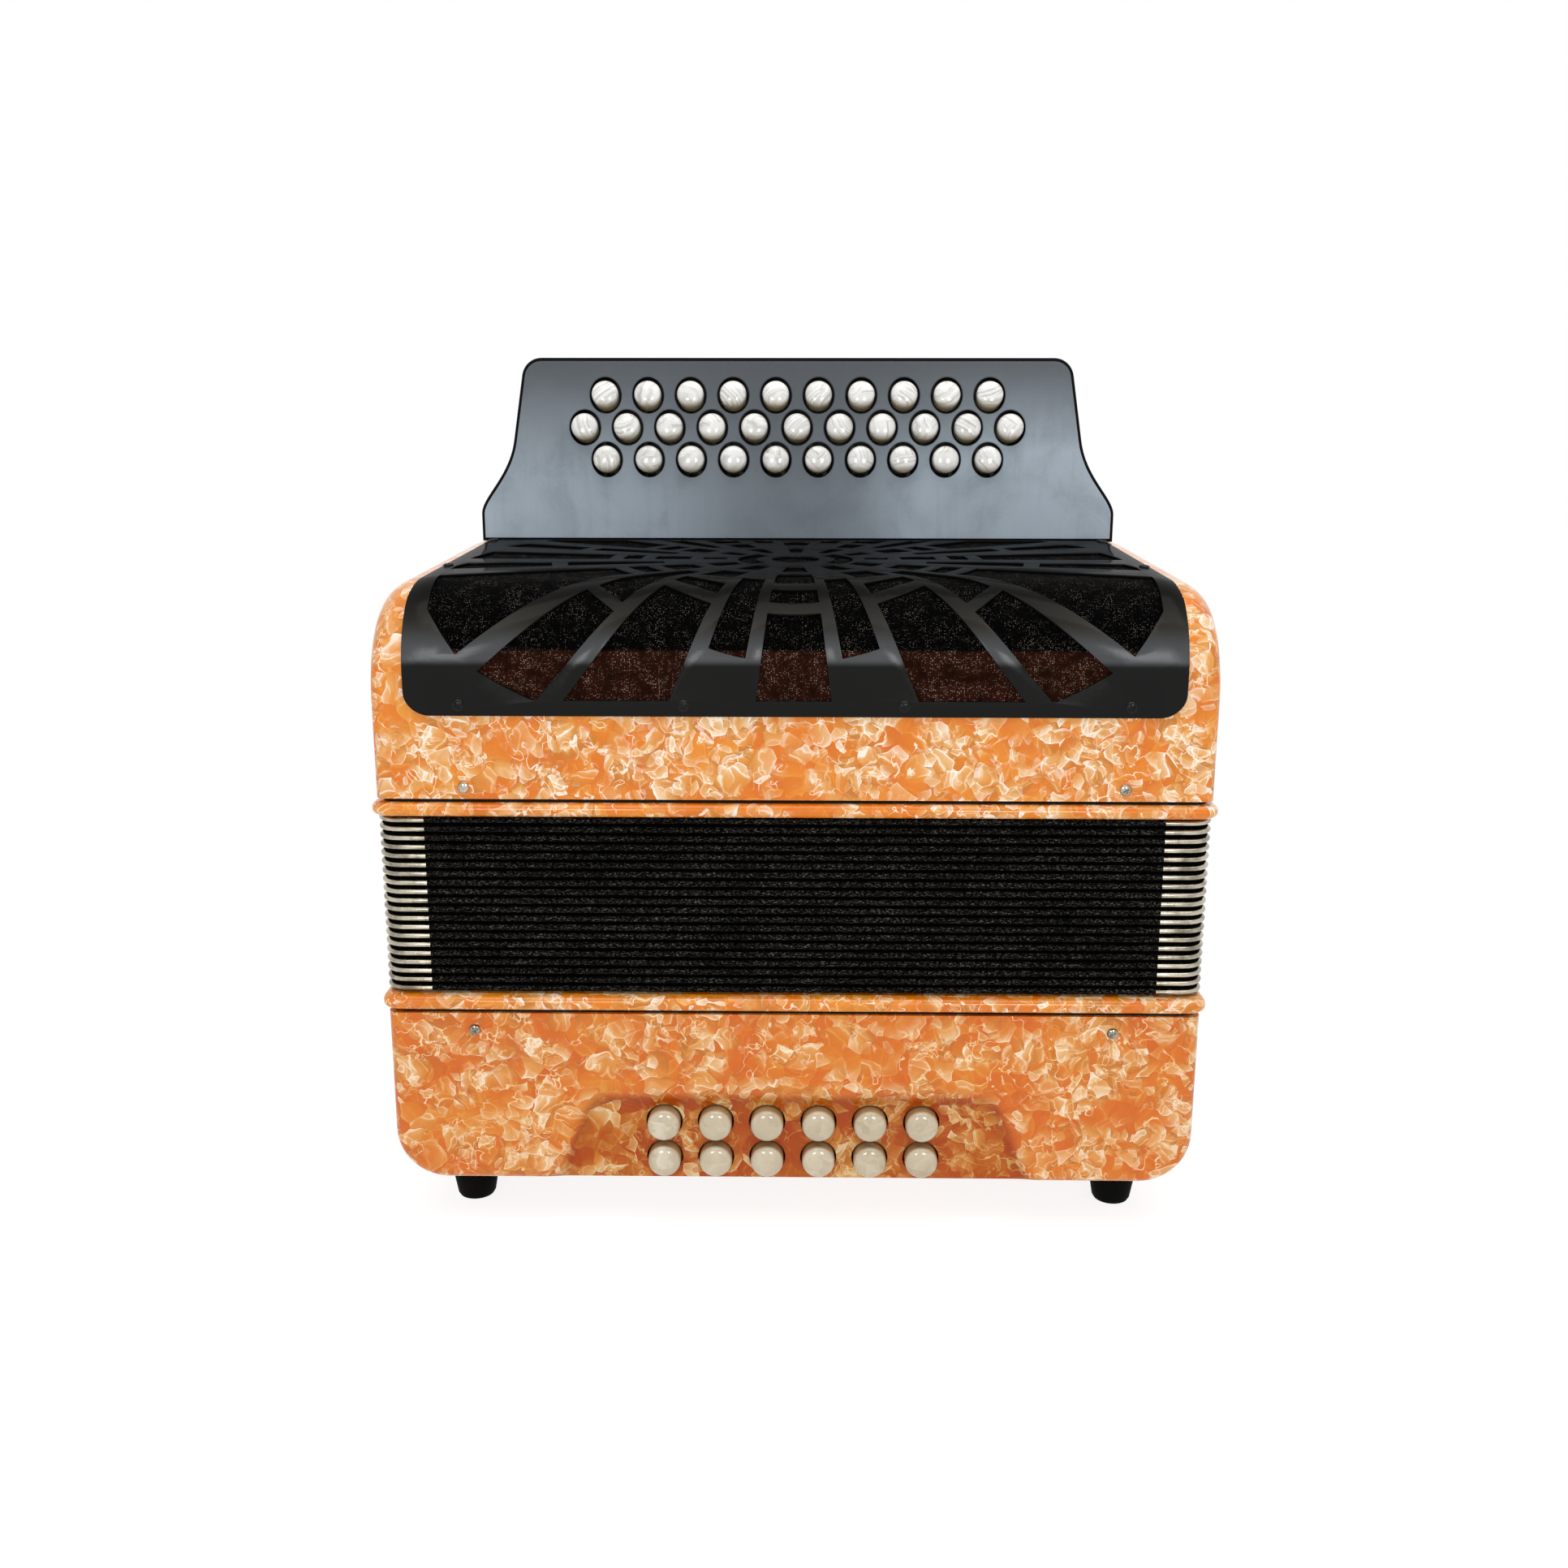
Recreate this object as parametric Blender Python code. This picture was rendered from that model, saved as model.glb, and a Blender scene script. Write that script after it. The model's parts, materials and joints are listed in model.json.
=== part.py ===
# Diatonic button accordion, closed, standing on its bass end.
#
# +Z runs from the bass end up to the treble end, the keyboard and the bass buttons
# face -Y, and X runs along the button rows. The origin is under the middle of the
# box, on the surface that the feet stand on. Lengths are in metres.
#
# The bass end is the fixed half. The treble end slides up as the bellows open, each
# treble key turns on the axle behind the fingerboard and lifts its own pallet off the
# soundboard, and the bass and air buttons slide into the bass case.

from math import atan, cos, degrees, hypot, pi, radians, sin, tan

import bmesh
import bpy
from mathutils import Vector
from mathutils.geometry import interpolate_bezier

# Clearance between pieces that touch
GAP = 0.0003

# Case
CASE_WIDTH = 0.310
CASE_DEPTH = 0.184
CASE_WALL = 0.008
BASS_CASE_HEIGHT = 0.0695
BASS_FLOOR = 0.006
BASS_CORNER_RADIUS = 0.020
BASS_EDGE_ROUNDING = 0.0035
TREBLE_CASE_HEIGHT = 0.0828
TREBLE_TOP_WALL = 0.006
TREBLE_REAR_WALL = 0.006
TREBLE_SIDE_RADIUS = 0.021
TREBLE_BEND_RADIUS = 0.030
TREBLE_TOP_SLOPE = 2.0
ARC_STEPS = 5

# Action window in the top of the treble case
WINDOW_WIDTH = 0.262
WINDOW_SILL = 0.0558

# Bellows frames with their gaskets
BEAD_PROUD = 0.002
BEAD_ROUNDING = 0.0018
FRAME_RAIL = 0.022
BASS_FRAME_HEIGHT = 0.0060
TREBLE_FRAME_HEIGHT = 0.0055
GASKET_THICKNESS = 0.0012
GASKET_INSET = 0.0035
GASKET_WIDTH = 0.012

# Bellows, closed
BELLOWS_FOLDS = 20
FOLD_PITCH = 0.003485
FOLD_DEPTH = 0.020
FOLD_WALL = 0.009
BELLOWS_SETBACK = 0.0015
BELLOWS_CORNER_RADIUS = 0.010

# Feet
FOOT_HEIGHT = 0.0192
FOOT_RADIUS = 0.0095
FOOT_TAPER = 0.0020
FOOT_SIDE_INSET = 0.025
FOOT_FRONT_INSET = 0.027

# Strap for the left hand, under the bass end
STRAP_WIDTH = 0.050
STRAP_THICKNESS = 0.003
STRAP_REACH = 0.116
STRAP_TAB = 0.020
STRAP_BOW = 0.0125
STRAP_BEND = 0.034

# Fingerboard
FINGERBOARD_DEPTH = 0.029
FINGERBOARD_HEIGHT = 0.0805
FINGERBOARD_BASE_WIDTH = 0.2862
FINGERBOARD_NECK_WIDTH = 0.2544
FINGERBOARD_TOP_WIDTH = 0.2426
FINGERBOARD_SHOULDER = 0.0120
FINGERBOARD_NECK = 0.0447
FINGERBOARD_CORNER_RADIUS = 0.009
FINGERBOARD_FACE = 0.004
FINGERBOARD_WALL = 0.005
FINGERBOARD_BACK = 0.0025
FINGERBOARD_EDGE = 0.0012

# Treble buttons in three rows; the inner row's height is above the foot of the fingerboard
BUTTON_PITCH = 0.01897
INNER_ROW_HEIGHT = 0.0363
ROW_SPACING = 0.0140
ROWS = {
    "outer": {"tier": 2, "count": 10, "lever_side": -1, "lever_setback": 0.0190, "pallet_setback": 0.044},
    "middle": {"tier": 1, "count": 11, "lever_side": 0, "lever_setback": 0.0145, "pallet_setback": 0.078},
    "inner": {"tier": 0, "count": 10, "lever_side": 1, "lever_setback": 0.0102, "pallet_setback": 0.112},
}
BUTTON_RADIUS = 0.0062
BUTTON_LENGTH = 0.0090
BUTTON_PROUD = 0.0050
BUTTON_DOME = 0.0012
BUTTON_TILT = 4.0
BUTTON_SIDES = 12
BUTTON_HOLE_WIDTH = 0.0145
BUTTON_HOLE_HEIGHT = 0.0164

# Treble key levers, pallets and their axle
AXLE_RADIUS = 0.0015
AXLE_SETBACK = 0.0140
AXLE_DEPTH = 0.0103
AXLE_POST_CLEARANCE = 0.01715
AXLE_SEAT = 0.0004
LEVER_THICKNESS = 0.0016
LEVER_SPREAD = 0.0032
LEVER_WIDTH = 0.0035
LEVER_ARM_HEIGHT = 0.005
LEVER_ARM_RISE = 0.0115
STEM_THICKNESS = 0.0032
PALLET_WIDTH = 0.0150
PALLET_LENGTH = 0.0220
PALLET_THICKNESS = 0.0040

# Soundboards with their reed blocks
TREBLE_SOUNDBOARD_RISE = 0.0513
SOUNDBOARD_THICKNESS = 0.004
SOUNDBOARD_CORNER_CUT = 0.008
REED_BLOCK_WIDTH = 0.230
REED_BLOCK_THICKNESS = 0.016
REED_BLOCK_HEIGHT = 0.040
AXLE_POST_THICKNESS = 0.004
BASS_SOUNDBOARD_DROP = 0.0025
BASS_BLOCK_SPACING = 0.060
PALLET_HOLE_WIDTH = 0.010
PALLET_HOLE_LENGTH = 0.015

# Bass buttons
BASS_PITCH = 0.0200
BASS_COLUMNS = 6
BASS_ROW_HEIGHTS = (0.0090, 0.0240)
BASS_BUTTON_RADIUS = 0.0065
BASS_BUTTON_LENGTH = 0.0130
BASS_BUTTON_PROUD = 0.0030
BASS_BUTTON_DOME = 0.0015
BASS_HOLE_RADIUS = 0.0070
BASS_TRAVEL = 0.0045
STEM_RADIUS = 0.0020
STEM_PAST_GUIDE = 0.0030
STEM_BORE = 0.0026
GUIDE_SETBACK = 0.030
GUIDE_THICKNESS = 0.004

# Hollow round the bass buttons
SCOOP_DEPTH = 0.0035
SCOOP_HALF_WIDTH = 0.089
SCOOP_TOP_HALF_WIDTH = 0.074
SCOOP_HEIGHT = 0.038
SCOOP_SLANT = 0.011

# Air button, under the bass case
AIR_BUTTON_RADIUS = 0.0060
AIR_BUTTON_PROUD = 0.0070
AIR_HOLE_RADIUS = 0.0065
AIR_STEM_LENGTH = 0.022
AIR_SIDE_INSET = 0.050
AIR_FRONT_INSET = 0.045

# Grille: a thin sheet bent over the front of the treble case, cut in a radial web
GRILLE_THICKNESS = 0.0010
GRILLE_HALF_WIDTH = 0.1415
GRILLE_BOTTOM_RISE = 0.0318
GRILLE_CORNER_RADIUS = 0.0095
GRILLE_BORDER = 0.00575
GRILLE_REAR_BORDER = 0.0040
GRILLE_SIDE_BORDER = 0.0070
WEB_CENTRE = 0.1147
WEB_HOLE_RADIUS = 0.0097
WEB_ARC_STEP = 10.0

# One half of the web: angles run from straight down, distances are in millimetres
# from the web's centre, and each opening lies between two angles and two distances
WEB_OPENINGS = (
    (10.6, 18.3, ((58, 92),)),
    (22.6, 36.5, ((25, 38), (44.5, 59.5), (66, 73), (78.5, 200))),
    (41.0, 48.5, ((54.5, 95), (100, 147))),
    (53.8, 69.0, ((26, 37.7), (44, 57), (62.5, 70.3), (76, 150.5))),
    (76.0, 84.0, ((53.5, 92), (98.2, 133))),
    (90.0, 101.5, ((28.2, 37.8), (43, 57.4), (63, 70.5), (76, 130.5))),
    (109.2, 115.0, ((53.5, 92), (98, 130.5))),
    (120.3, 132.5, ((26, 37), (44, 57), (62, 70), (76, 130.5))),
    (138.5, 143.5, ((54, 200),)),
    (149.0, 158.5, ((25, 40), (46, 60), (66, 200))),
    (163.5, 170.5, ((62, 200),)),
    (48.0, 138.0, ((15.8, 23.3),)),
)
WEB_CENTRE_OPENINGS = (
    (-7.2, 7.2, ((25.5, 40.4), (46.6, 61), (65.6, 72.5), (77.3, 200))),
    (174.5, 185.5, ((24, 38.6), (51, 64))),
)

# Heights of the stack, from the floor up
BASS_BOTTOM = FOOT_HEIGHT + GAP
BASS_TOP = BASS_BOTTOM + BASS_CASE_HEIGHT
BASS_FRAME_BOTTOM = BASS_TOP + GASKET_THICKNESS
BASS_FRAME_TOP = BASS_FRAME_BOTTOM + BASS_FRAME_HEIGHT
BELLOWS_BOTTOM = BASS_FRAME_TOP + GAP
BELLOWS_TOP = BELLOWS_BOTTOM + BELLOWS_FOLDS * FOLD_PITCH
TREBLE_FRAME_BOTTOM = BELLOWS_TOP + GAP
TREBLE_FRAME_TOP = TREBLE_FRAME_BOTTOM + TREBLE_FRAME_HEIGHT
TREBLE_BOTTOM = TREBLE_FRAME_TOP + GASKET_THICKNESS
TREBLE_TOP = TREBLE_BOTTOM + TREBLE_CASE_HEIGHT
FINGERBOARD_BOTTOM = TREBLE_TOP + GAP

# Front to back: the bass buttons reach furthest forward, the frames furthest back
HALF_WIDTH = CASE_WIDTH / 2
FRONT = BASS_BUTTON_PROUD - (BASS_BUTTON_PROUD + CASE_DEPTH + BEAD_PROUD) / 2
REAR = FRONT + CASE_DEPTH
MIDDLE = (FRONT + REAR) / 2
FINGERBOARD_Y = REAR - FINGERBOARD_DEPTH
AXLE_Y = FINGERBOARD_Y + AXLE_SETBACK
AXLE_Z = TREBLE_TOP - AXLE_DEPTH
SOUNDBOARD_TOP = TREBLE_BOTTOM + TREBLE_SOUNDBOARD_RISE
LONGEST_ROW = max(row["count"] for row in ROWS.values())
AXLE_POST_X = (LONGEST_ROW - 1) / 2 * BUTTON_PITCH + AXLE_POST_CLEARANCE


def clear_scene():
    for obj in list(bpy.data.objects):
        bpy.data.objects.remove(obj, do_unlink=True)


def material(name, colour, roughness, metallic=0.0):
    finish = bpy.data.materials.new(name)
    finish.use_nodes = True
    shader = finish.node_tree.nodes["Principled BSDF"]
    shader.inputs["Base Color"].default_value = (*colour, 1.0)
    shader.inputs["Roughness"].default_value = roughness
    shader.inputs["Metallic"].default_value = metallic
    finish.diffuse_color = (*colour, 1.0)
    return finish


def make_object(name, bm, finish=None, location=(0, 0, 0)):
    """Turn a bmesh into an object. The bmesh is used up."""
    bm.normal_update()
    bmesh.ops.recalc_face_normals(bm, faces=bm.faces)
    mesh = bpy.data.meshes.new(name)
    bm.to_mesh(mesh)
    bm.free()
    return place(name, mesh, finish, location)


def place(name, mesh, finish, location=(0, 0, 0)):
    obj = bpy.data.objects.new(name, mesh)
    obj.location = location
    bpy.context.scene.collection.objects.link(obj)
    if finish and not mesh.materials:
        mesh.materials.append(finish)
    return obj


def boolean(obj, tool_mesh, operation):
    """Cut or join obj with a tool given as a bmesh, and keep the result as its mesh."""
    tool = make_object("tool", tool_mesh)
    change = obj.modifiers.new("change", "BOOLEAN")
    change.object = tool
    change.operation = operation
    shape = obj.evaluated_get(bpy.context.evaluated_depsgraph_get())
    mesh = bpy.data.meshes.new_from_object(shape)
    obj.modifiers.clear()
    obj.data = mesh
    bpy.data.objects.remove(tool, do_unlink=True)


def new_verts(geometry):
    return [item for item in geometry if isinstance(item, bmesh.types.BMVert)]


def push_face(bm, face):
    """Extrude one face in place and return the new one; the old one stays only as an end face."""
    alone = all(len(edge.link_faces) == 1 for edge in face.edges)
    pushed = bmesh.ops.extrude_face_region(bm, geom=[face])["geom"]
    if not alone:
        bmesh.ops.delete(bm, geom=[face], context="FACES_ONLY")
    return next(item for item in pushed if isinstance(item, bmesh.types.BMFace))


def prism(points, travel, bm=None):
    """Closed solid: the flat outline pushed along travel."""
    bm = bm or bmesh.new()
    face = bm.faces.new([bm.verts.new(point) for point in points])
    pushed = bmesh.ops.extrude_face_region(bm, geom=[face])["geom"]
    bmesh.ops.translate(bm, vec=travel, verts=new_verts(pushed))
    return bm


def block(x_range, y_range, z_range, bm=None):
    (x0, x1), (y0, y1), (z0, z1) = x_range, y_range, z_range
    outline = [(x0, y0, z0), (x1, y0, z0), (x1, y1, z0), (x0, y1, z0)]
    return prism(outline, (0, 0, z1 - z0), bm)


def circle(centre, radius, sides, axis, stretch=1.0):
    """Points round an axis, 'y' or 'z'. A stretch lengthens the circle along Z."""
    x, y, z = centre
    points = []
    for step in range(sides):
        angle = 2 * pi * (step + 0.5) / sides
        across, along = radius * cos(angle), radius * sin(angle)
        points.append((x + across, y, z + along * stretch) if axis == "y" else (x + across, y + along, z))
    return points


def arc(centre, radius, start, end, steps=ARC_STEPS):
    """2D points on an arc, angles in degrees."""
    angles = [radians(start + (end - start) * step / steps) for step in range(steps + 1)]
    return [(centre[0] + radius * cos(a), centre[1] + radius * sin(a)) for a in angles]


def rounded_rectangle(half_x, half_y, radius, z, steps=2):
    corners = ((1, 1, 0), (-1, 1, 90), (-1, -1, 180), (1, -1, 270))
    points = []
    for side_x, side_y, start in corners:
        centre = (side_x * (half_x - radius), MIDDLE + side_y * (half_y - radius))
        points += [(x, y, z) for x, y in arc(centre, radius, start, start + 90, steps)]
    return points


def flat_ring(outer, inner, height, bm=None):
    """Closed ring: two outlines of equally many points in one plane, given a height."""
    bm = bm or bmesh.new()
    loops = [[bm.verts.new(point) for point in outline] for outline in (outer, inner)]
    count = len(outer)
    faces = [
        bm.faces.new([loops[0][i], loops[0][(i + 1) % count], loops[1][(i + 1) % count], loops[1][i]])
        for i in range(count)
    ]
    pushed = bmesh.ops.extrude_face_region(bm, geom=faces)["geom"]
    bmesh.ops.translate(bm, vec=(0, 0, height), verts=new_verts(pushed))
    return bm


# Treble case and grille share one bent surface

def bend_centre(radius, top):
    """Height of the front bend's centre, for a top surface that reaches top at the fingerboard."""
    slope = radians(TREBLE_TOP_SLOPE)
    run = FINGERBOARD_Y - FRONT - TREBLE_BEND_RADIUS
    return top - run * tan(slope) - radius / cos(slope)


def side_stations(half_width, radius):
    """Pairs of x and drop across the case: level in the middle, rounded down at both sides."""
    right = [(half_width - radius + x, radius - z) for z, x in arc((0, 0), radius, 0, 90)]
    return [(-x, drop) for x, drop in reversed(right)] + right


def bend_points(front, radius, top):
    """Front bend as (y, z) points, from its foot on the front to the start of the top."""
    centre = (front + radius, bend_centre(radius, top))
    return arc(centre, radius, 180, 90 + TREBLE_TOP_SLOPE, ARC_STEPS + 1)


def treble_block(half_width, front, rear, bottom, top, side_radius, bend_radius):
    """Solid with a bent front, a sloping top and rounded sides, built from side to side."""
    profile = [(front, bottom)] + bend_points(front, bend_radius, top)
    profile += [(FINGERBOARD_Y, top), (rear, top), (rear, bottom)]
    stations = side_stations(half_width, side_radius)
    x, drop = stations[0]
    bm = bmesh.new()
    end = bm.faces.new([bm.verts.new((x, y, z - drop if z > bottom else z)) for y, z in profile])
    for next_x, next_drop in stations[1:]:
        end = push_face(bm, end)
        for vert in end.verts:
            vert.co.x += next_x - x
            if vert.co.z > bottom:
                vert.co.z -= next_drop - drop
        x, drop = next_x, next_drop
    return bm


def make_treble_case(finish):
    case = make_object(
        "treble_case",
        treble_block(HALF_WIDTH, FRONT, REAR, TREBLE_BOTTOM, TREBLE_TOP, TREBLE_SIDE_RADIUS, TREBLE_BEND_RADIUS),
        finish,
    )
    inside = treble_block(
        HALF_WIDTH - CASE_WALL,
        FRONT + CASE_WALL,
        REAR - TREBLE_REAR_WALL,
        TREBLE_BOTTOM - CASE_WALL,
        TREBLE_TOP - TREBLE_TOP_WALL,
        TREBLE_SIDE_RADIUS - CASE_WALL,
        TREBLE_BEND_RADIUS - CASE_WALL,
    )
    boolean(case, inside, "DIFFERENCE")
    window = block(
        (-WINDOW_WIDTH / 2, WINDOW_WIDTH / 2),
        (FRONT - CASE_WALL, REAR - TREBLE_REAR_WALL),
        (TREBLE_BOTTOM + WINDOW_SILL, TREBLE_TOP + CASE_WALL),
    )
    boolean(case, window, "DIFFERENCE")


def sheet_lengths():
    """Lengths of the grille's front, bend and sloping stretches, along its back."""
    foot = TREBLE_BOTTOM + GRILLE_BOTTOM_RISE
    slope = radians(TREBLE_TOP_SLOPE)
    front = bend_centre(TREBLE_BEND_RADIUS, TREBLE_TOP) - foot
    bend = TREBLE_BEND_RADIUS * (pi / 2 - slope)
    run = FINGERBOARD_Y - FRONT - TREBLE_BEND_RADIUS + TREBLE_BEND_RADIUS * sin(slope) - GAP
    return front, bend, run / cos(slope)


def drop_at(x):
    """Drop of the case's top at x, between the stations that the case is built on."""
    stations = side_stations(HALF_WIDTH, TREBLE_SIDE_RADIUS)
    for (x0, drop0), (x1, drop1) in zip(stations, stations[1:]):
        if x0 <= x <= x1:
            return drop0 + (drop1 - drop0) * (x - x0) / (x1 - x0)
    return TREBLE_SIDE_RADIUS


def sheet_point(x, along, lift):
    """Point on the bent sheet: x across, distance up from its foot, and height off the case."""
    front, bend, _ = sheet_lengths()
    radius = TREBLE_BEND_RADIUS
    centre_z = bend_centre(radius, TREBLE_TOP)
    foot = TREBLE_BOTTOM + GRILLE_BOTTOM_RISE
    drop = drop_at(x)
    if along <= front:
        return x, FRONT - lift, foot + along * (centre_z - drop - foot) / front
    angle = min((along - front) / radius, bend / radius)
    past = max(along - front - bend, 0.0)
    slope = radians(TREBLE_TOP_SLOPE)
    y = FRONT + radius - (radius + lift) * cos(angle) + past * cos(slope)
    z = centre_z + (radius + lift) * sin(angle) + past * sin(slope) - drop
    return x, y, z


def clipped(points, axis, limit, side):
    """Part of a flat outline on one side of a line: side 1 keeps what is below the limit."""
    kept = []
    for a, b in zip(points, points[1:] + points[:1]):
        inside_a, inside_b = side * (limit - a[axis]) >= 0, side * (limit - b[axis]) >= 0
        if inside_a:
            kept.append(a)
        if inside_a != inside_b:
            share = (limit - a[axis]) / (b[axis] - a[axis])
            kept.append(tuple(p + (q - p) * share for p, q in zip(a, b)))
    return kept


def web_opening(start, end, inner, outer, top):
    """One opening of the web as a flat outline in the sheet, clipped to the borders."""
    steps = max(1, round((end - start) / WEB_ARC_STEP))
    centre = (0, WEB_CENTRE)
    points = arc(centre, outer / 1000, start - 90, end - 90, steps)
    points += reversed(arc(centre, inner / 1000, start - 90, end - 90, steps))
    points = clipped(points, 1, GRILLE_BORDER, -1)
    points = clipped(points, 1, top, 1)
    return clipped(points, 0, GRILLE_HALF_WIDTH - GRILLE_SIDE_BORDER, 1)


def grille_outlines():
    """The sheet's edge and all its openings, flat."""
    length = sum(sheet_lengths())
    top = length - GRILLE_REAR_BORDER
    half, radius = GRILLE_HALF_WIDTH, GRILLE_CORNER_RADIUS
    edge = arc((half - radius, radius), radius, -90, 0, 4) + [(half, length)]
    edge = [(-x, y) for x, y in reversed(edge)] + edge
    openings = [arc((0, WEB_CENTRE), WEB_HOLE_RADIUS, 0, 337.5, 15)]
    for start, end, spans in WEB_CENTRE_OPENINGS:
        openings += [web_opening(start, end, inner, outer, top) for inner, outer in spans]
    for start, end, spans in WEB_OPENINGS:
        for inner, outer in spans:
            right = web_opening(start, end, inner, outer, top)
            openings += [right, [(-x, y) for x, y in reversed(right)]]
    return [edge] + openings


def make_grille(finish):
    bm = bmesh.new()
    for outline in grille_outlines():
        verts = [bm.verts.new((x, y, 0)) for x, y in outline]
        for a, b in zip(verts, verts[1:] + verts[:1]):
            bm.edges.new((a, b))
    bmesh.ops.triangle_fill(bm, use_beauty=True, edges=bm.edges, normal=(0, 0, 1))
    pushed = bmesh.ops.extrude_face_region(bm, geom=bm.faces[:])["geom"]
    bmesh.ops.translate(bm, vec=(0, 0, GRILLE_THICKNESS), verts=new_verts(pushed))
    front, bend, _ = sheet_lengths()
    folds = [front + bend * step / (ARC_STEPS + 1) for step in range(ARC_STEPS + 2)]
    cuts = [((0, fold, 0), (0, 1, 0)) for fold in folds]
    for x, _ in side_stations(HALF_WIDTH, TREBLE_SIDE_RADIUS):
        if abs(x) < GRILLE_HALF_WIDTH:
            cuts.append(((x, 0, 0), (1, 0, 0)))
    for point, normal in cuts:
        everything = bm.verts[:] + bm.edges[:] + bm.faces[:]
        bmesh.ops.bisect_plane(bm, geom=everything, dist=1e-6, plane_co=point, plane_no=normal)
    for vert in bm.verts:
        vert.co = sheet_point(vert.co.x, vert.co.y, GAP + vert.co.z)
    make_object("grille", bm, finish)


# Bellows and their frames

def bead_frame(name, bottom, height, gasket_below, finish):
    """Frame with a rounded bead outside and a gasket strip on the side towards the case."""
    half_x, half_y = HALF_WIDTH + BEAD_PROUD, CASE_DEPTH / 2 + BEAD_PROUD
    radius = BELLOWS_CORNER_RADIUS / 2
    inner = rounded_rectangle(HALF_WIDTH - FRAME_RAIL, CASE_DEPTH / 2 - FRAME_RAIL, radius, bottom)
    frame = flat_ring(rounded_rectangle(half_x, half_y, radius, bottom), inner, height)
    bead = [
        edge for edge in frame.edges
        if all(abs(v.co.x) > HALF_WIDTH - radius or abs(v.co.y - MIDDLE) > CASE_DEPTH / 2 - radius for v in edge.verts)
        and abs(edge.verts[0].co.z - edge.verts[1].co.z) < GAP
        and all(len(face.verts) == 4 for face in edge.link_faces)
        and abs(edge.link_faces[0].normal.z) != abs(edge.link_faces[1].normal.z)
    ]
    bmesh.ops.bevel(frame, geom=bead, offset=BEAD_ROUNDING, segments=2, profile=0.5, affect="EDGES", material=-1)
    obj = make_object(name, frame, finish)
    strip_x, strip_y = HALF_WIDTH - GASKET_INSET, CASE_DEPTH / 2 - GASKET_INSET
    thickness = GASKET_THICKNESS - GAP
    low = bottom - thickness if gasket_below else bottom + height - GAP
    strip = flat_ring(
        rounded_rectangle(strip_x, strip_y, radius, low),
        rounded_rectangle(strip_x - GASKET_WIDTH, strip_y - GASKET_WIDTH, radius, low),
        thickness + GAP,
    )
    boolean(obj, strip, "UNION")


def extrude_ring(bm, edges, inward, upward):
    """Next ring of the bellows: the last one copied inward and upward, and joined to it."""
    pushed = bmesh.ops.extrude_edge_only(bm, edges=edges)["geom"]
    verts = set(new_verts(pushed))
    for vert in verts:
        vert.co.x -= inward if vert.co.x > 0 else -inward
        vert.co.y -= inward if vert.co.y > MIDDLE else -inward
        vert.co.z += upward
    return [item for item in pushed if isinstance(item, bmesh.types.BMEdge) and set(item.verts) <= verts]


def make_bellows(finish):
    """Folded tube, open at both ends: up the outside in zigzags and down the inside."""
    bm = bmesh.new()
    outline = rounded_rectangle(
        HALF_WIDTH - BELLOWS_SETBACK, CASE_DEPTH / 2 - BELLOWS_SETBACK, BELLOWS_CORNER_RADIUS, BELLOWS_BOTTOM, 1,
    )
    verts = [bm.verts.new(point) for point in outline]
    for vert in verts:
        vert.co.x -= FOLD_DEPTH if vert.co.x > 0 else -FOLD_DEPTH
        vert.co.y -= FOLD_DEPTH if vert.co.y > MIDDLE else -FOLD_DEPTH
    first = [bm.edges.new((a, b)) for a, b in zip(verts, verts[1:] + verts[:1])]
    edges = first
    for _ in range(BELLOWS_FOLDS):
        edges = extrude_ring(bm, edges, -FOLD_DEPTH, FOLD_PITCH / 2)
        edges = extrude_ring(bm, edges, FOLD_DEPTH, FOLD_PITCH / 2)
    edges = extrude_ring(bm, edges, FOLD_WALL, 0)
    for _ in range(BELLOWS_FOLDS):
        edges = extrude_ring(bm, edges, -FOLD_DEPTH, -FOLD_PITCH / 2)
        edges = extrude_ring(bm, edges, FOLD_DEPTH, -FOLD_PITCH / 2)
    bmesh.ops.bridge_loops(bm, edges=edges + first)
    make_object("bellows", bm, finish)


# Bass end

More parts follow.
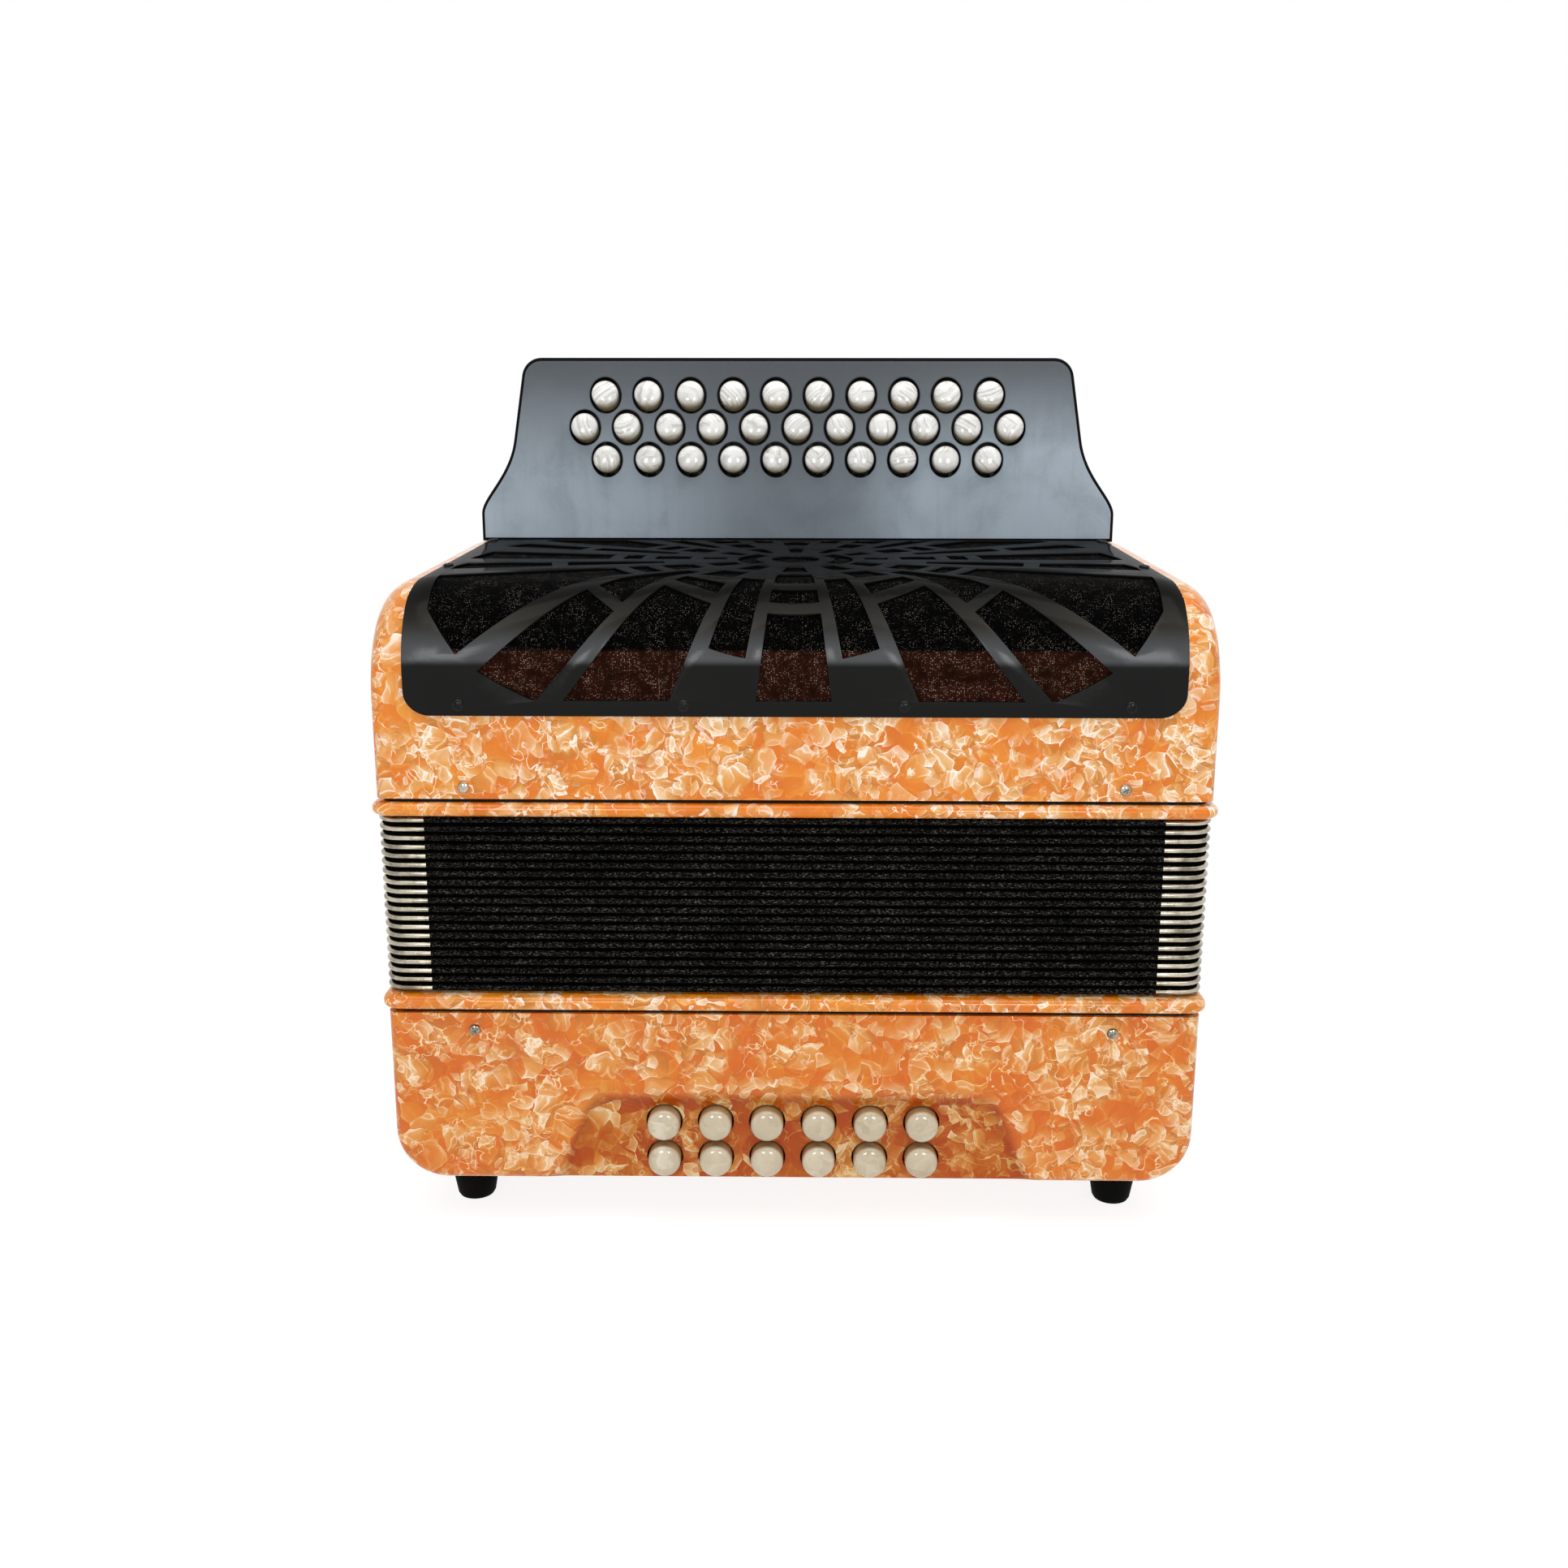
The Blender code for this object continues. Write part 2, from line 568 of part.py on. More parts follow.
def make_bass_case(finish):
    floor = BASS_BOTTOM
    radius = BASS_CORNER_RADIUS
    right = arc((HALF_WIDTH - radius, floor + radius), radius, -90, 0) + [(HALF_WIDTH, BASS_TOP)]
    outline = [(-x, FRONT, z) for x, z in reversed(right)] + [(x, FRONT, z) for x, z in right]
    bm = prism(outline, (0, CASE_DEPTH, 0))
    rims = [
        edge for edge in bm.edges
        if abs(edge.verts[0].co.y - edge.verts[1].co.y) < GAP and min(v.co.z for v in edge.verts) < BASS_TOP - GAP
    ]
    bmesh.ops.bevel(
        bm, geom=rims, offset=BASS_EDGE_ROUNDING, segments=2, profile=0.5, affect="EDGES", material=-1,
    )
    case = make_object("bass_case", bm, finish)

    wall_x, inner_radius = HALF_WIDTH - CASE_WALL, radius - BASS_FLOOR
    right = arc((wall_x - inner_radius, floor + BASS_FLOOR + inner_radius), inner_radius, -90, 0)
    right += [(wall_x, BASS_TOP + CASE_WALL)]
    outline = [(-x, FRONT + CASE_WALL, z) for x, z in reversed(right)]
    outline += [(x, FRONT + CASE_WALL, z) for x, z in right]
    boolean(case, prism(outline, (0, CASE_DEPTH - 2 * CASE_WALL, 0)), "DIFFERENCE")

    # Board that guides the button stems
    half_guide = BASS_COLUMNS / 2 * BASS_PITCH
    guide_top = BASS_BUTTON_RADIUS + max(bass_row_heights())
    guide_y = FRONT + GUIDE_SETBACK
    guide = block(
        (-half_guide, half_guide), (guide_y, guide_y + GUIDE_THICKNESS), (floor + BASS_FLOOR / 2, guide_top),
    )
    boolean(case, guide, "UNION")
    boolean(case, scoop_tool(), "DIFFERENCE")

    holes, bores = bmesh.new(), bmesh.new()
    hole_depth = BASS_BUTTON_LENGTH - BASS_BUTTON_PROUD + BASS_TRAVEL + 2 * GAP + CASE_WALL - BASS_HOLE_RADIUS
    for x, z in bass_places():
        prism(circle((x, FRONT - CASE_WALL, z), BASS_HOLE_RADIUS, BUTTON_SIDES, "y"),
              (0, CASE_WALL + hole_depth, 0), holes)
        prism(circle((x, guide_y - GAP, z), STEM_BORE, 8, "y"), (0, GUIDE_THICKNESS + 2 * GAP, 0), bores)
    boolean(case, holes, "DIFFERENCE")
    boolean(case, bores, "DIFFERENCE")
    x, y = air_place()
    air_hole = prism(circle((x, y, floor - BASS_FLOOR), AIR_HOLE_RADIUS, BUTTON_SIDES, "z"), (0, 0, 3 * BASS_FLOOR))
    boolean(case, air_hole, "DIFFERENCE")


def scoop_tool():
    """Hollow with slanted walls, open at the foot of the bass case."""
    low, high = BASS_BOTTOM - CASE_WALL, BASS_BOTTOM + SCOOP_HEIGHT
    splay = (SCOOP_HALF_WIDTH - SCOOP_TOP_HALF_WIDTH) / SCOOP_HEIGHT
    foot = SCOOP_HALF_WIDTH + splay * CASE_WALL
    outline = [(-foot, low), (foot, low), (SCOOP_TOP_HALF_WIDTH, high), (-SCOOP_TOP_HALF_WIDTH, high)]
    bm = prism([(x, FRONT, z) for x, z in outline], (0, SCOOP_DEPTH, 0))
    for vert in bm.verts:
        outer = vert.co.y < FRONT + GAP
        shift = -SCOOP_SLANT / SCOOP_DEPTH * GAP if outer else SCOOP_SLANT
        vert.co.x -= shift if vert.co.x > 0 else -shift
        vert.co.z -= shift if vert.co.z > BASS_BOTTOM else 0
        vert.co.y -= GAP if outer else 0
    return bm


def bass_row_heights():
    return [BASS_BOTTOM + height for height in BASS_ROW_HEIGHTS]


def bass_places():
    """Button centres as (x, z), upper row first, from -X to +X."""
    columns = [(column - (BASS_COLUMNS - 1) / 2) * BASS_PITCH for column in range(BASS_COLUMNS)]
    return [(x, z) for z in sorted(bass_row_heights(), reverse=True) for x in columns]


def air_place():
    return -HALF_WIDTH + AIR_SIDE_INSET, FRONT + AIR_FRONT_INSET


def turned(profile, sides, bm=None):
    """Closed solid turned about -Y from (radius, y) pairs that end on radii above 0."""
    bm = bm or bmesh.new()
    radius, y = profile[0]
    face = bm.faces.new([bm.verts.new(point) for point in circle((0, y, 0), radius, sides, "y")])
    for next_radius, next_y in profile[1:]:
        face = push_face(bm, face)
        scale = next_radius / radius
        for vert in face.verts:
            vert.co = (vert.co.x * scale, next_y, vert.co.z * scale)
        radius, y = next_radius, next_y
    return bm


def domed_cap(radius, length, dome):
    """Button cap from its domed tip at y 0 back to y length."""
    return [(radius * 0.45, 0), (radius * 0.88, dome * 0.55), (radius, dome * 1.6), (radius, length)]


def make_bass_buttons(finish):
    reach = BASS_BUTTON_PROUD + GUIDE_SETBACK + GUIDE_THICKNESS + STEM_PAST_GUIDE
    profile = domed_cap(BASS_BUTTON_RADIUS, BASS_BUTTON_LENGTH, BASS_BUTTON_DOME)
    profile += [(STEM_RADIUS, BASS_BUTTON_LENGTH), (STEM_RADIUS, reach)]
    first = make_object("bass_button_01", turned(profile, BUTTON_SIDES), finish)
    front = FRONT - BASS_BUTTON_PROUD
    for number, (x, z) in enumerate(bass_places(), 1):
        button = first if number == 1 else place(f"bass_button_{number:02d}", first.data, finish)
        button.location = (x, front, z)


def make_air_button(finish):
    length = AIR_BUTTON_PROUD + BASS_FLOOR
    profile = domed_cap(AIR_BUTTON_RADIUS, length, BASS_BUTTON_DOME)
    profile += [(STEM_RADIUS, length), (STEM_RADIUS, length + AIR_STEM_LENGTH)]
    bm = turned(profile, BUTTON_SIDES)
    for vert in bm.verts:
        vert.co = (vert.co.x, vert.co.z, vert.co.y)
    x, y = air_place()
    make_object("air_button", bm, finish, (x, y, BASS_BOTTOM - AIR_BUTTON_PROUD))


def make_feet(finish):
    """Rubber feet, a little narrower at the floor."""
    profile = [
        (FOOT_RADIUS - FOOT_TAPER, 0),
        (FOOT_RADIUS - FOOT_TAPER / 4, FOOT_HEIGHT * 0.3),
        (FOOT_RADIUS, FOOT_HEIGHT),
    ]
    first = None
    inset_x, inset_y = HALF_WIDTH - FOOT_SIDE_INSET, FOOT_FRONT_INSET
    for end, y in (("front", FRONT + inset_y), ("rear", REAR - inset_y)):
        for side, x in (("left", -inset_x), ("right", inset_x)):
            name = f"foot_{end}_{side}"
            if first is None:
                bm = turned(profile, 16)
                for vert in bm.verts:
                    vert.co = (vert.co.x, vert.co.z, vert.co.y)
                first = make_object(name, bm, finish, (x, y, 0))
            else:
                place(name, first.data, finish, (x, y, 0))


def strap_line(steps=6):
    """Upper side of the strap as (x, z) points: tabs on the case, bowed down between them."""
    top = BASS_BOTTOM - GAP
    half = [(0, top - STRAP_BOW)]
    start = STRAP_REACH - STRAP_TAB
    for step in range(steps + 1):
        share = step / steps
        ease = (1 - cos(pi * share)) / 2
        half.append((start - STRAP_BEND * (1 - share), top - STRAP_BOW * (1 - ease)))
    half.append((STRAP_REACH, top))
    return [(-x, z) for x, z in reversed(half[1:])] + half


def make_bass_strap(finish):
    upper = strap_line()
    outline = upper + [(x, z - STRAP_THICKNESS) for x, z in reversed(upper)]
    points = [(x, MIDDLE - STRAP_WIDTH / 2, z) for x, z in outline]
    make_object("bass_strap", prism(points, (0, STRAP_WIDTH, 0)), finish)


def reed_block(bm, y, low, high):
    half = REED_BLOCK_THICKNESS / 2
    return block((-REED_BLOCK_WIDTH / 2, REED_BLOCK_WIDTH / 2), (y - half, y + half), (low, high), bm)


def make_bass_soundboard(finish):
    top = BASS_TOP - BASS_SOUNDBOARD_DROP
    inside_x, inside_y = HALF_WIDTH - CASE_WALL - GAP, CASE_DEPTH / 2 - CASE_WALL - GAP
    board = make_object(
        "bass_soundboard",
        block((-inside_x, inside_x), (MIDDLE - inside_y, MIDDLE + inside_y), (top - SOUNDBOARD_THICKNESS, top)),
        finish,
    )
    blocks = bmesh.new()
    for side in (-1, 1):
        reed_block(blocks, MIDDLE + side * BASS_BLOCK_SPACING / 2, top - GAP, top + REED_BLOCK_HEIGHT)
    boolean(board, blocks, "UNION")


# Fingerboard

def fingerboard_outline():
    """Outline as (x, z): straight foot, shoulders swept in to a neck, round top corners."""
    low, high = FINGERBOARD_BOTTOM, FINGERBOARD_BOTTOM + FINGERBOARD_HEIGHT
    base, neck, top = (width / 2 for width in (FINGERBOARD_BASE_WIDTH, FINGERBOARD_NECK_WIDTH, FINGERBOARD_TOP_WIDTH))
    shoulder_z, neck_z = low + FINGERBOARD_SHOULDER, low + FINGERBOARD_NECK
    sweep = neck_z - shoulder_z
    lean = (neck - top) / (high - neck_z)
    curve = interpolate_bezier(
        Vector((base, shoulder_z)),
        Vector((base, shoulder_z + sweep * 0.23)),
        Vector((neck + lean * sweep * 0.5, neck_z - sweep * 0.5)),
        Vector((neck, neck_z)),
        7,
    )
    radius = FINGERBOARD_CORNER_RADIUS
    tilt = degrees(atan(lean))
    reach = radius * (1 - sin(radians(tilt))) / cos(radians(tilt))
    centre = (top - reach, high - radius)
    corner = arc(centre, radius, tilt, 90, 4)
    right = [(base, low)] + [tuple(point) for point in curve] + corner
    return right + [(-x, z) for x, z in reversed(right)]


def make_fingerboard(finish):
    depth = FINGERBOARD_DEPTH - FINGERBOARD_BACK - GAP
    outline = [(x, FINGERBOARD_Y, z) for x, z in fingerboard_outline()]
    bm = prism(outline, (0, depth, 0))
    rims = [edge for edge in bm.edges if all(v.co.y < FINGERBOARD_Y + GAP for v in edge.verts)]
    bmesh.ops.bevel(bm, geom=rims, offset=FINGERBOARD_EDGE, segments=1, profile=0.5, affect="EDGES", material=-1)
    back = max(bm.faces, key=lambda face: face.calc_center_median().y)
    bmesh.ops.inset_region(bm, faces=[back], thickness=FINGERBOARD_WALL, use_even_offset=True)
    back = push_face(bm, back)
    bmesh.ops.translate(bm, vec=(0, FINGERBOARD_FACE - depth, 0), verts=back.verts)
    board = make_object("fingerboard", bm, finish)

    # Way through the foot for the key levers, and the button holes
    half = AXLE_POST_X + AXLE_POST_THICKNESS / 2
    foot = block(
        (-half, half),
        (FINGERBOARD_Y + FINGERBOARD_FACE, FINGERBOARD_Y + depth + GAP),
        (FINGERBOARD_BOTTOM - GAP, FINGERBOARD_BOTTOM + 2 * FINGERBOARD_WALL),
    )
    boolean(board, foot, "DIFFERENCE")
    holes = bmesh.new()
    for x, z in treble_places():
        stretch = BUTTON_HOLE_HEIGHT / BUTTON_HOLE_WIDTH
        ring = circle((x, FINGERBOARD_Y - GAP, z), BUTTON_HOLE_WIDTH / 2, BUTTON_SIDES, "y", stretch)
        prism(ring, (0, FINGERBOARD_FACE + 2 * GAP, 0), holes)
    boolean(board, holes, "DIFFERENCE")


def make_fingerboard_back(finish):
    outline = [(x, REAR - FINGERBOARD_BACK, z) for x, z in fingerboard_outline()]
    make_object("fingerboard_back", prism(outline, (0, FINGERBOARD_BACK, 0)), finish)


# Treble keys

def row_height(row):
    """Height of a row's buttons, from the floor up."""
    return FINGERBOARD_BOTTOM + INNER_ROW_HEIGHT + row["tier"] * ROW_SPACING


def row_columns(row):
    return [(column - (row["count"] - 1) / 2) * BUTTON_PITCH for column in range(row["count"])]


def treble_places():
    return [(x, row_height(row)) for row in ROWS.values() for x in row_columns(row)]


def lever_outline(row):
    """Side view of one lever as (y, z) from the axle: up to the button, forward to the pallet."""
    half = LEVER_WIDTH / 2
    button_z = row_height(row) - AXLE_Z
    upright = row["lever_setback"] - AXLE_SETBACK
    pallet = FRONT + row["pallet_setback"] - AXLE_Y
    arm_low = SOUNDBOARD_TOP + LEVER_ARM_RISE - AXLE_Z
    arm_high = arm_low + LEVER_ARM_HEIGHT
    pallet_top = SOUNDBOARD_TOP + GAP + PALLET_THICKNESS - AXLE_Z
    hub = 3 * AXLE_RADIUS
    return [
        (pallet + half, pallet_top - GAP),
        (pallet - half, pallet_top - GAP),
        (pallet - half, arm_high),
        (-hub, arm_high),
        (-hub, hub * 0.8),
        (upright - half, 2.5 * hub),
        (upright - half, button_z + half),
        (upright + half, button_z + half),
        (upright + half, 2 * hub),
        (hub, hub * 0.9),
        (hub, -hub * 0.9),
        (hub * 0.5, arm_low),
        (pallet + half, arm_low),
    ]


def make_key(name, row, finish):
    """One key as a single moving piece: cap, stem, bent lever and pallet, about its axle."""
    offset = row["lever_side"] * LEVER_SPREAD
    half = LEVER_THICKNESS / 2
    outline = [(offset - half, y, z) for y, z in lever_outline(row)]
    key = make_object(name, prism(outline, (LEVER_THICKNESS, 0, 0)), finish)
    bore = circle((0, 0, 0), AXLE_RADIUS + AXLE_SEAT, 8, "y")
    bore = [(offset - LEVER_THICKNESS, x, z) for x, _, z in bore]
    boolean(key, prism(bore, (2 * LEVER_THICKNESS, 0, 0)), "DIFFERENCE")

    button_z = row_height(row) - AXLE_Z
    tip_y = -BUTTON_PROUD - AXLE_SETBACK
    cap = turned(domed_cap(BUTTON_RADIUS, BUTTON_LENGTH, BUTTON_DOME), BUTTON_SIDES)
    tilt = radians(BUTTON_TILT)
    for vert in cap.verts:
        y, z = vert.co.y - BUTTON_PROUD, vert.co.z
        vert.co.y = y * cos(tilt) + z * sin(tilt) + tip_y + BUTTON_PROUD
        vert.co.z = z * cos(tilt) - y * sin(tilt) + button_z
    stem_half = STEM_THICKNESS / 2
    edge_x = offset + row["lever_side"] * half
    stem = block(
        (min(-stem_half, edge_x), max(stem_half, edge_x)),
        (tip_y + BUTTON_LENGTH - 4 * GAP, row["lever_setback"] - AXLE_SETBACK + GAP),
        (button_z - stem_half, button_z + stem_half),
    )
    boolean(key, stem, "UNION")
    boolean(key, cap, "UNION")
    pallet_y = FRONT + row["pallet_setback"] - AXLE_Y
    pallet_z = SOUNDBOARD_TOP + GAP - AXLE_Z
    pallet = block(
        (offset - PALLET_WIDTH / 2, offset + PALLET_WIDTH / 2),
        (pallet_y - PALLET_LENGTH / 2, pallet_y + PALLET_LENGTH / 2),
        (pallet_z, pallet_z + PALLET_THICKNESS),
    )
    boolean(key, pallet, "UNION")
    return key


def make_treble_keys(finish):
    for row_name, row in ROWS.items():
        first = None
        for number, x in enumerate(row_columns(row), 1):
            name = f"treble_key_{row_name}_{number:02d}"
            if first is None:
                first = make_key(name, row, finish)
                key = first
            else:
                key = place(name, first.data, finish)
            key.location = (x, AXLE_Y, AXLE_Z)


def make_key_axle(finish):
    ring = circle((AXLE_Y, 0, AXLE_Z), AXLE_RADIUS, 8, "y")
    reach = AXLE_POST_X + AXLE_POST_THICKNESS / 2
    points = [(-reach, y, z) for y, _, z in ring]
    make_object("key_axle", prism(points, (2 * reach, 0, 0)), finish)


def make_treble_soundboard(finish):
    """Soundboard with a reed block under each row of pallets and a post for each axle end."""
    low = SOUNDBOARD_TOP - SOUNDBOARD_THICKNESS
    x, cut = HALF_WIDTH - CASE_WALL - GAP, SOUNDBOARD_CORNER_CUT
    front, rear = FRONT + CASE_WALL + GAP, REAR - TREBLE_REAR_WALL - GAP
    outline = [(-x, rear), (-x, front + cut), (cut - x, front), (x - cut, front), (x, front + cut), (x, rear)]
    board = prism([(x, y, low) for x, y in outline], (0, 0, SOUNDBOARD_THICKNESS))
    board = make_object("treble_soundboard", board, finish)
    blocks = bmesh.new()
    for row in ROWS.values():
        reed_block(blocks, FRONT + row["pallet_setback"], low - REED_BLOCK_HEIGHT, low + GAP)
    boolean(board, blocks, "UNION")
    posts, bores, holes = bmesh.new(), bmesh.new(), bmesh.new()
    half = AXLE_POST_THICKNESS / 2
    hub = 3 * AXLE_RADIUS
    ring = circle((AXLE_Y, 0, AXLE_Z), AXLE_RADIUS + GAP, 8, "y")
    for x in (-AXLE_POST_X, AXLE_POST_X):
        block((x - half, x + half), (AXLE_Y - hub, AXLE_Y + hub), (SOUNDBOARD_TOP - GAP, AXLE_Z + hub * 0.8), posts)
        prism([(x - 2 * half, y, z) for y, _, z in ring], (4 * half, 0, 0), bores)
    for row in ROWS.values():
        y = FRONT + row["pallet_setback"]
        y_range = (y - PALLET_HOLE_LENGTH / 2, y + PALLET_HOLE_LENGTH / 2)
        for x in row_columns(row):
            x += row["lever_side"] * LEVER_SPREAD
            x_range = (x - PALLET_HOLE_WIDTH / 2, x + PALLET_HOLE_WIDTH / 2)
            block(x_range, y_range, (low, SOUNDBOARD_TOP + GAP), holes)
    boolean(board, posts, "UNION")
    boolean(board, bores, "DIFFERENCE")
    boolean(board, holes, "DIFFERENCE")


def build():
    clear_scene()
    pearloid = material("orange pearloid", (0.80, 0.36, 0.12), 0.25)
    satin_black = material("satin black", (0.05, 0.055, 0.065), 0.45)
    grille_black = material("black enamel", (0.02, 0.02, 0.02), 0.35, 0.3)
    cloth_black = material("black bellows cloth", (0.015, 0.015, 0.017), 0.85)
    treble_pearl = material("white pearl", (0.90, 0.88, 0.84), 0.2)
    bass_pearl = material("cream pearl", (0.80, 0.76, 0.66), 0.2)
    spruce = material("spruce", (0.42, 0.25, 0.13), 0.6)
    steel = material("steel", (0.55, 0.55, 0.56), 0.3, 1.0)
    rubber = material("black rubber", (0.02, 0.02, 0.02), 0.8)
    leather = material("black leather", (0.03, 0.028, 0.026), 0.6)

    make_treble_case(pearloid)
    make_grille(grille_black)
    make_fingerboard(satin_black)
    make_fingerboard_back(satin_black)
    make_treble_soundboard(spruce)
    make_key_axle(steel)
    bead_frame("treble_bellows_frame", TREBLE_FRAME_BOTTOM, TREBLE_FRAME_HEIGHT, False, pearloid)
    make_bellows(cloth_black)
    bead_frame("bass_bellows_frame", BASS_FRAME_BOTTOM, BASS_FRAME_HEIGHT, True, pearloid)
    make_bass_soundboard(spruce)
    make_bass_case(pearloid)
    make_bass_strap(leather)
    make_feet(rubber)
    make_treble_keys(treble_pearl)
    make_bass_buttons(bass_pearl)
    make_air_button(bass_pearl)


build()
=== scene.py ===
import json
import math

import bmesh
import bpy
from mathutils import Matrix, Vector
from mathutils.geometry import interpolate_bezier


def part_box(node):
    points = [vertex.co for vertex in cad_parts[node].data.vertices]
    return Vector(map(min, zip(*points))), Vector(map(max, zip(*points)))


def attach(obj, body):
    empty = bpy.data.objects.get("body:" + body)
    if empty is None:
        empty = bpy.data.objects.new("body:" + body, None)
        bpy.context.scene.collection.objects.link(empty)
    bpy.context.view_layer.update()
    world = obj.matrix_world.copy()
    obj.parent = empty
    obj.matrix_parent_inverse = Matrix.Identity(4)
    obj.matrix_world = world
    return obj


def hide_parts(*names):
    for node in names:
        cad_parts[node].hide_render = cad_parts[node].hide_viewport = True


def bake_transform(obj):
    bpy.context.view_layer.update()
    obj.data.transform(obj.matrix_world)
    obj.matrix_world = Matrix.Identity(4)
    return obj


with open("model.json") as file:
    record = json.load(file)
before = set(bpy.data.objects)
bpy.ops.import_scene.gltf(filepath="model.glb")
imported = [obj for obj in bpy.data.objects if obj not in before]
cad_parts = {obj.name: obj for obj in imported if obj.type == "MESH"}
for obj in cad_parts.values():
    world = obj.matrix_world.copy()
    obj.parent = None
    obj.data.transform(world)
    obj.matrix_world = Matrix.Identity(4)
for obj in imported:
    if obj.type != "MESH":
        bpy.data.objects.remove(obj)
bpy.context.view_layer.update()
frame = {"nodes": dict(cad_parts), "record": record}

record = frame["record"]
print("frame loaded:", len(frame["nodes"]), "nodes")

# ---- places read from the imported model

gap = 0.0003
trebleLow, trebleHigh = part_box("treble_case")
bassLow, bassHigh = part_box("bass_case")
frontY, rearY = bassLow.y, bassHigh.y
middleY = (frontY + rearY) / 2
halfWidth = bassHigh.x
boardLow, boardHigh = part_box("fingerboard")
bellowsLow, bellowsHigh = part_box("bellows")
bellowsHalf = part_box("treble_bellows_frame")[1].x - 0.0006      # just inside the frames' beads
slideRoom = bellowsHigh.z - bellowsLow.z


# ---- nodes of the materials

def ink(red, green, blue):
    # a colour as seen on screen, 0 to 255, as the shader's linear numbers
    return tuple((v / 255 / 12.92) if v <= 10 else ((v / 255 + 0.055) / 1.055) ** 2.4 for v in (red, green, blue))


class Link:
    # an output socket that can be used in sums
    def __init__(self, finish, socket):
        self.finish, self.socket = finish, socket

    def math(self, operation, *values):
        return self.finish.node("ShaderNodeMath", {"operation": operation}, values)

    def __add__(self, other):
        return self.math("ADD", self, other)

    def __radd__(self, other):
        return self.math("ADD", other, self)

    def __sub__(self, other):
        return self.math("SUBTRACT", self, other)

    def __rsub__(self, other):
        return self.math("SUBTRACT", other, self)

    def __mul__(self, other):
        return self.math("MULTIPLY", self, other)

    def __rmul__(self, other):
        return self.math("MULTIPLY", other, self)

    def __truediv__(self, other):
        return self.math("DIVIDE", self, other)

    def __pow__(self, other):
        return self.math("POWER", self, other)

    def __gt__(self, other):
        return self.math("GREATER_THAN", self, other)

    def __lt__(self, other):
        return self.math("LESS_THAN", self, other)

    def __abs__(self):
        return self.math("ABSOLUTE", self)

    def sine(self):
        return self.math("SINE", self)

    def rise(self, low, high):
        # 0 below low, 1 above high, and a soft step between
        return self.finish.node(
            "ShaderNodeMapRange", {"interpolation_type": "SMOOTHSTEP"}, {0: self, 1: low, 2: high, 3: 0.0, 4: 1.0})


class Finish:
    def math(self, operation, *values):
        return self.node("ShaderNodeMath", {"operation": operation}, values)

    def __init__(self, name, slot, constants):
        self.material = bpy.data.materials.new(name)
        self.material.use_nodes = True
        self.slot = slot
        self.tree = self.material.node_tree
        self.shader = self.tree.nodes["Principled BSDF"]
        self.set(constants)
        self.point = self.node("ShaderNodeTexCoord", out="Object")
        split = self.node("ShaderNodeSeparateXYZ", values=[self.point]).socket.node
        self.x, self.y, self.z = (Link(self, split.outputs[i]) for i in range(3))

    def feed(self, socket, value):
        if isinstance(value, Link):
            self.tree.links.new(value.socket, socket)
        elif isinstance(value, tuple) and len(value) == 3 and socket.type == "RGBA":
            socket.default_value = (*value, 1)
        else:
            socket.default_value = value

    def set(self, values):
        for name, value in values.items():
            self.feed(self.shader.inputs[name], value)

    def node(self, kind, settings=(), values=(), out=0):
        made = self.tree.nodes.new(kind)
        for name, value in dict(settings).items():
            if name == "stops":
                stops = made.color_ramp.elements
                stops.remove(stops[1])
                stops[0].position, stops[0].color = value[0][0], (*value[0][1], 1)
                for position, colour in value[1:]:
                    stops.new(position).color = (*colour, 1)
            else:
                setattr(made, name, value)
        for name, value in values.items() if isinstance(values, dict) else enumerate(values):
            self.feed(made.inputs[name], value)
        return Link(self, made.outputs[out])

    def noise(self, scale, detail=2.0, roughness=0.5, distortion=0.0, at=None, out=0):
        sizes = {"Vector": at or self.point, "Scale": scale, "Detail": detail, "Roughness": roughness,
                 "Distortion": distortion}
        return self.node("ShaderNodeTexNoise", values=sizes, out=out)

    def cells(self, scale, feature="F1", at=None, out=0, randomness=1.0):
        return self.node("ShaderNodeTexVoronoi", {"feature": feature},
                         {"Vector": at or self.point, "Scale": scale, "Randomness": randomness}, out)

    def stretched(self, scale, turn=(0.0, 0.0, 0.0)):
        return self.node("ShaderNodeMapping", values={"Vector": self.point, "Rotation": turn, "Scale": scale})

    def mix(self, share, a, b, mode="MIX"):
        return self.node("ShaderNodeMix", {"data_type": "RGBA", "blend_type": mode}, {0: share, 6: a, 7: b}, out=2)

    def ramp(self, value, stops):
        return self.node("ShaderNodeValToRGB", {"stops": stops}, [value])

    def bump(self, height, distance, strength=1.0):
        return self.node("ShaderNodeBump", values={"Height": height, "Distance": distance, "Strength": strength})


trebleCase = {
    "sideRadius": 0.0145,
    "bendRadius": 0.030,
    "slope": math.radians(2.0),      # the top falls towards the front
    "cornerRadius": 0.004,
    "wall": 0.006,
    "windowHalf": 0.131,
    "windowSill": 0.0558,
    "windowRear": 0.0865,
}


def dropAt(x, radius):
    reach = min(max(abs(x) - halfWidth + radius, 0.0), radius)
    return radius - math.sqrt(radius ** 2 - reach ** 2)


def bendFoot():
    slope, radius = trebleCase["slope"], trebleCase["bendRadius"]
    return trebleHigh.z - (boardLow.y - frontY - radius) * math.tan(slope) - radius / math.cos(slope)


# ---- finishes

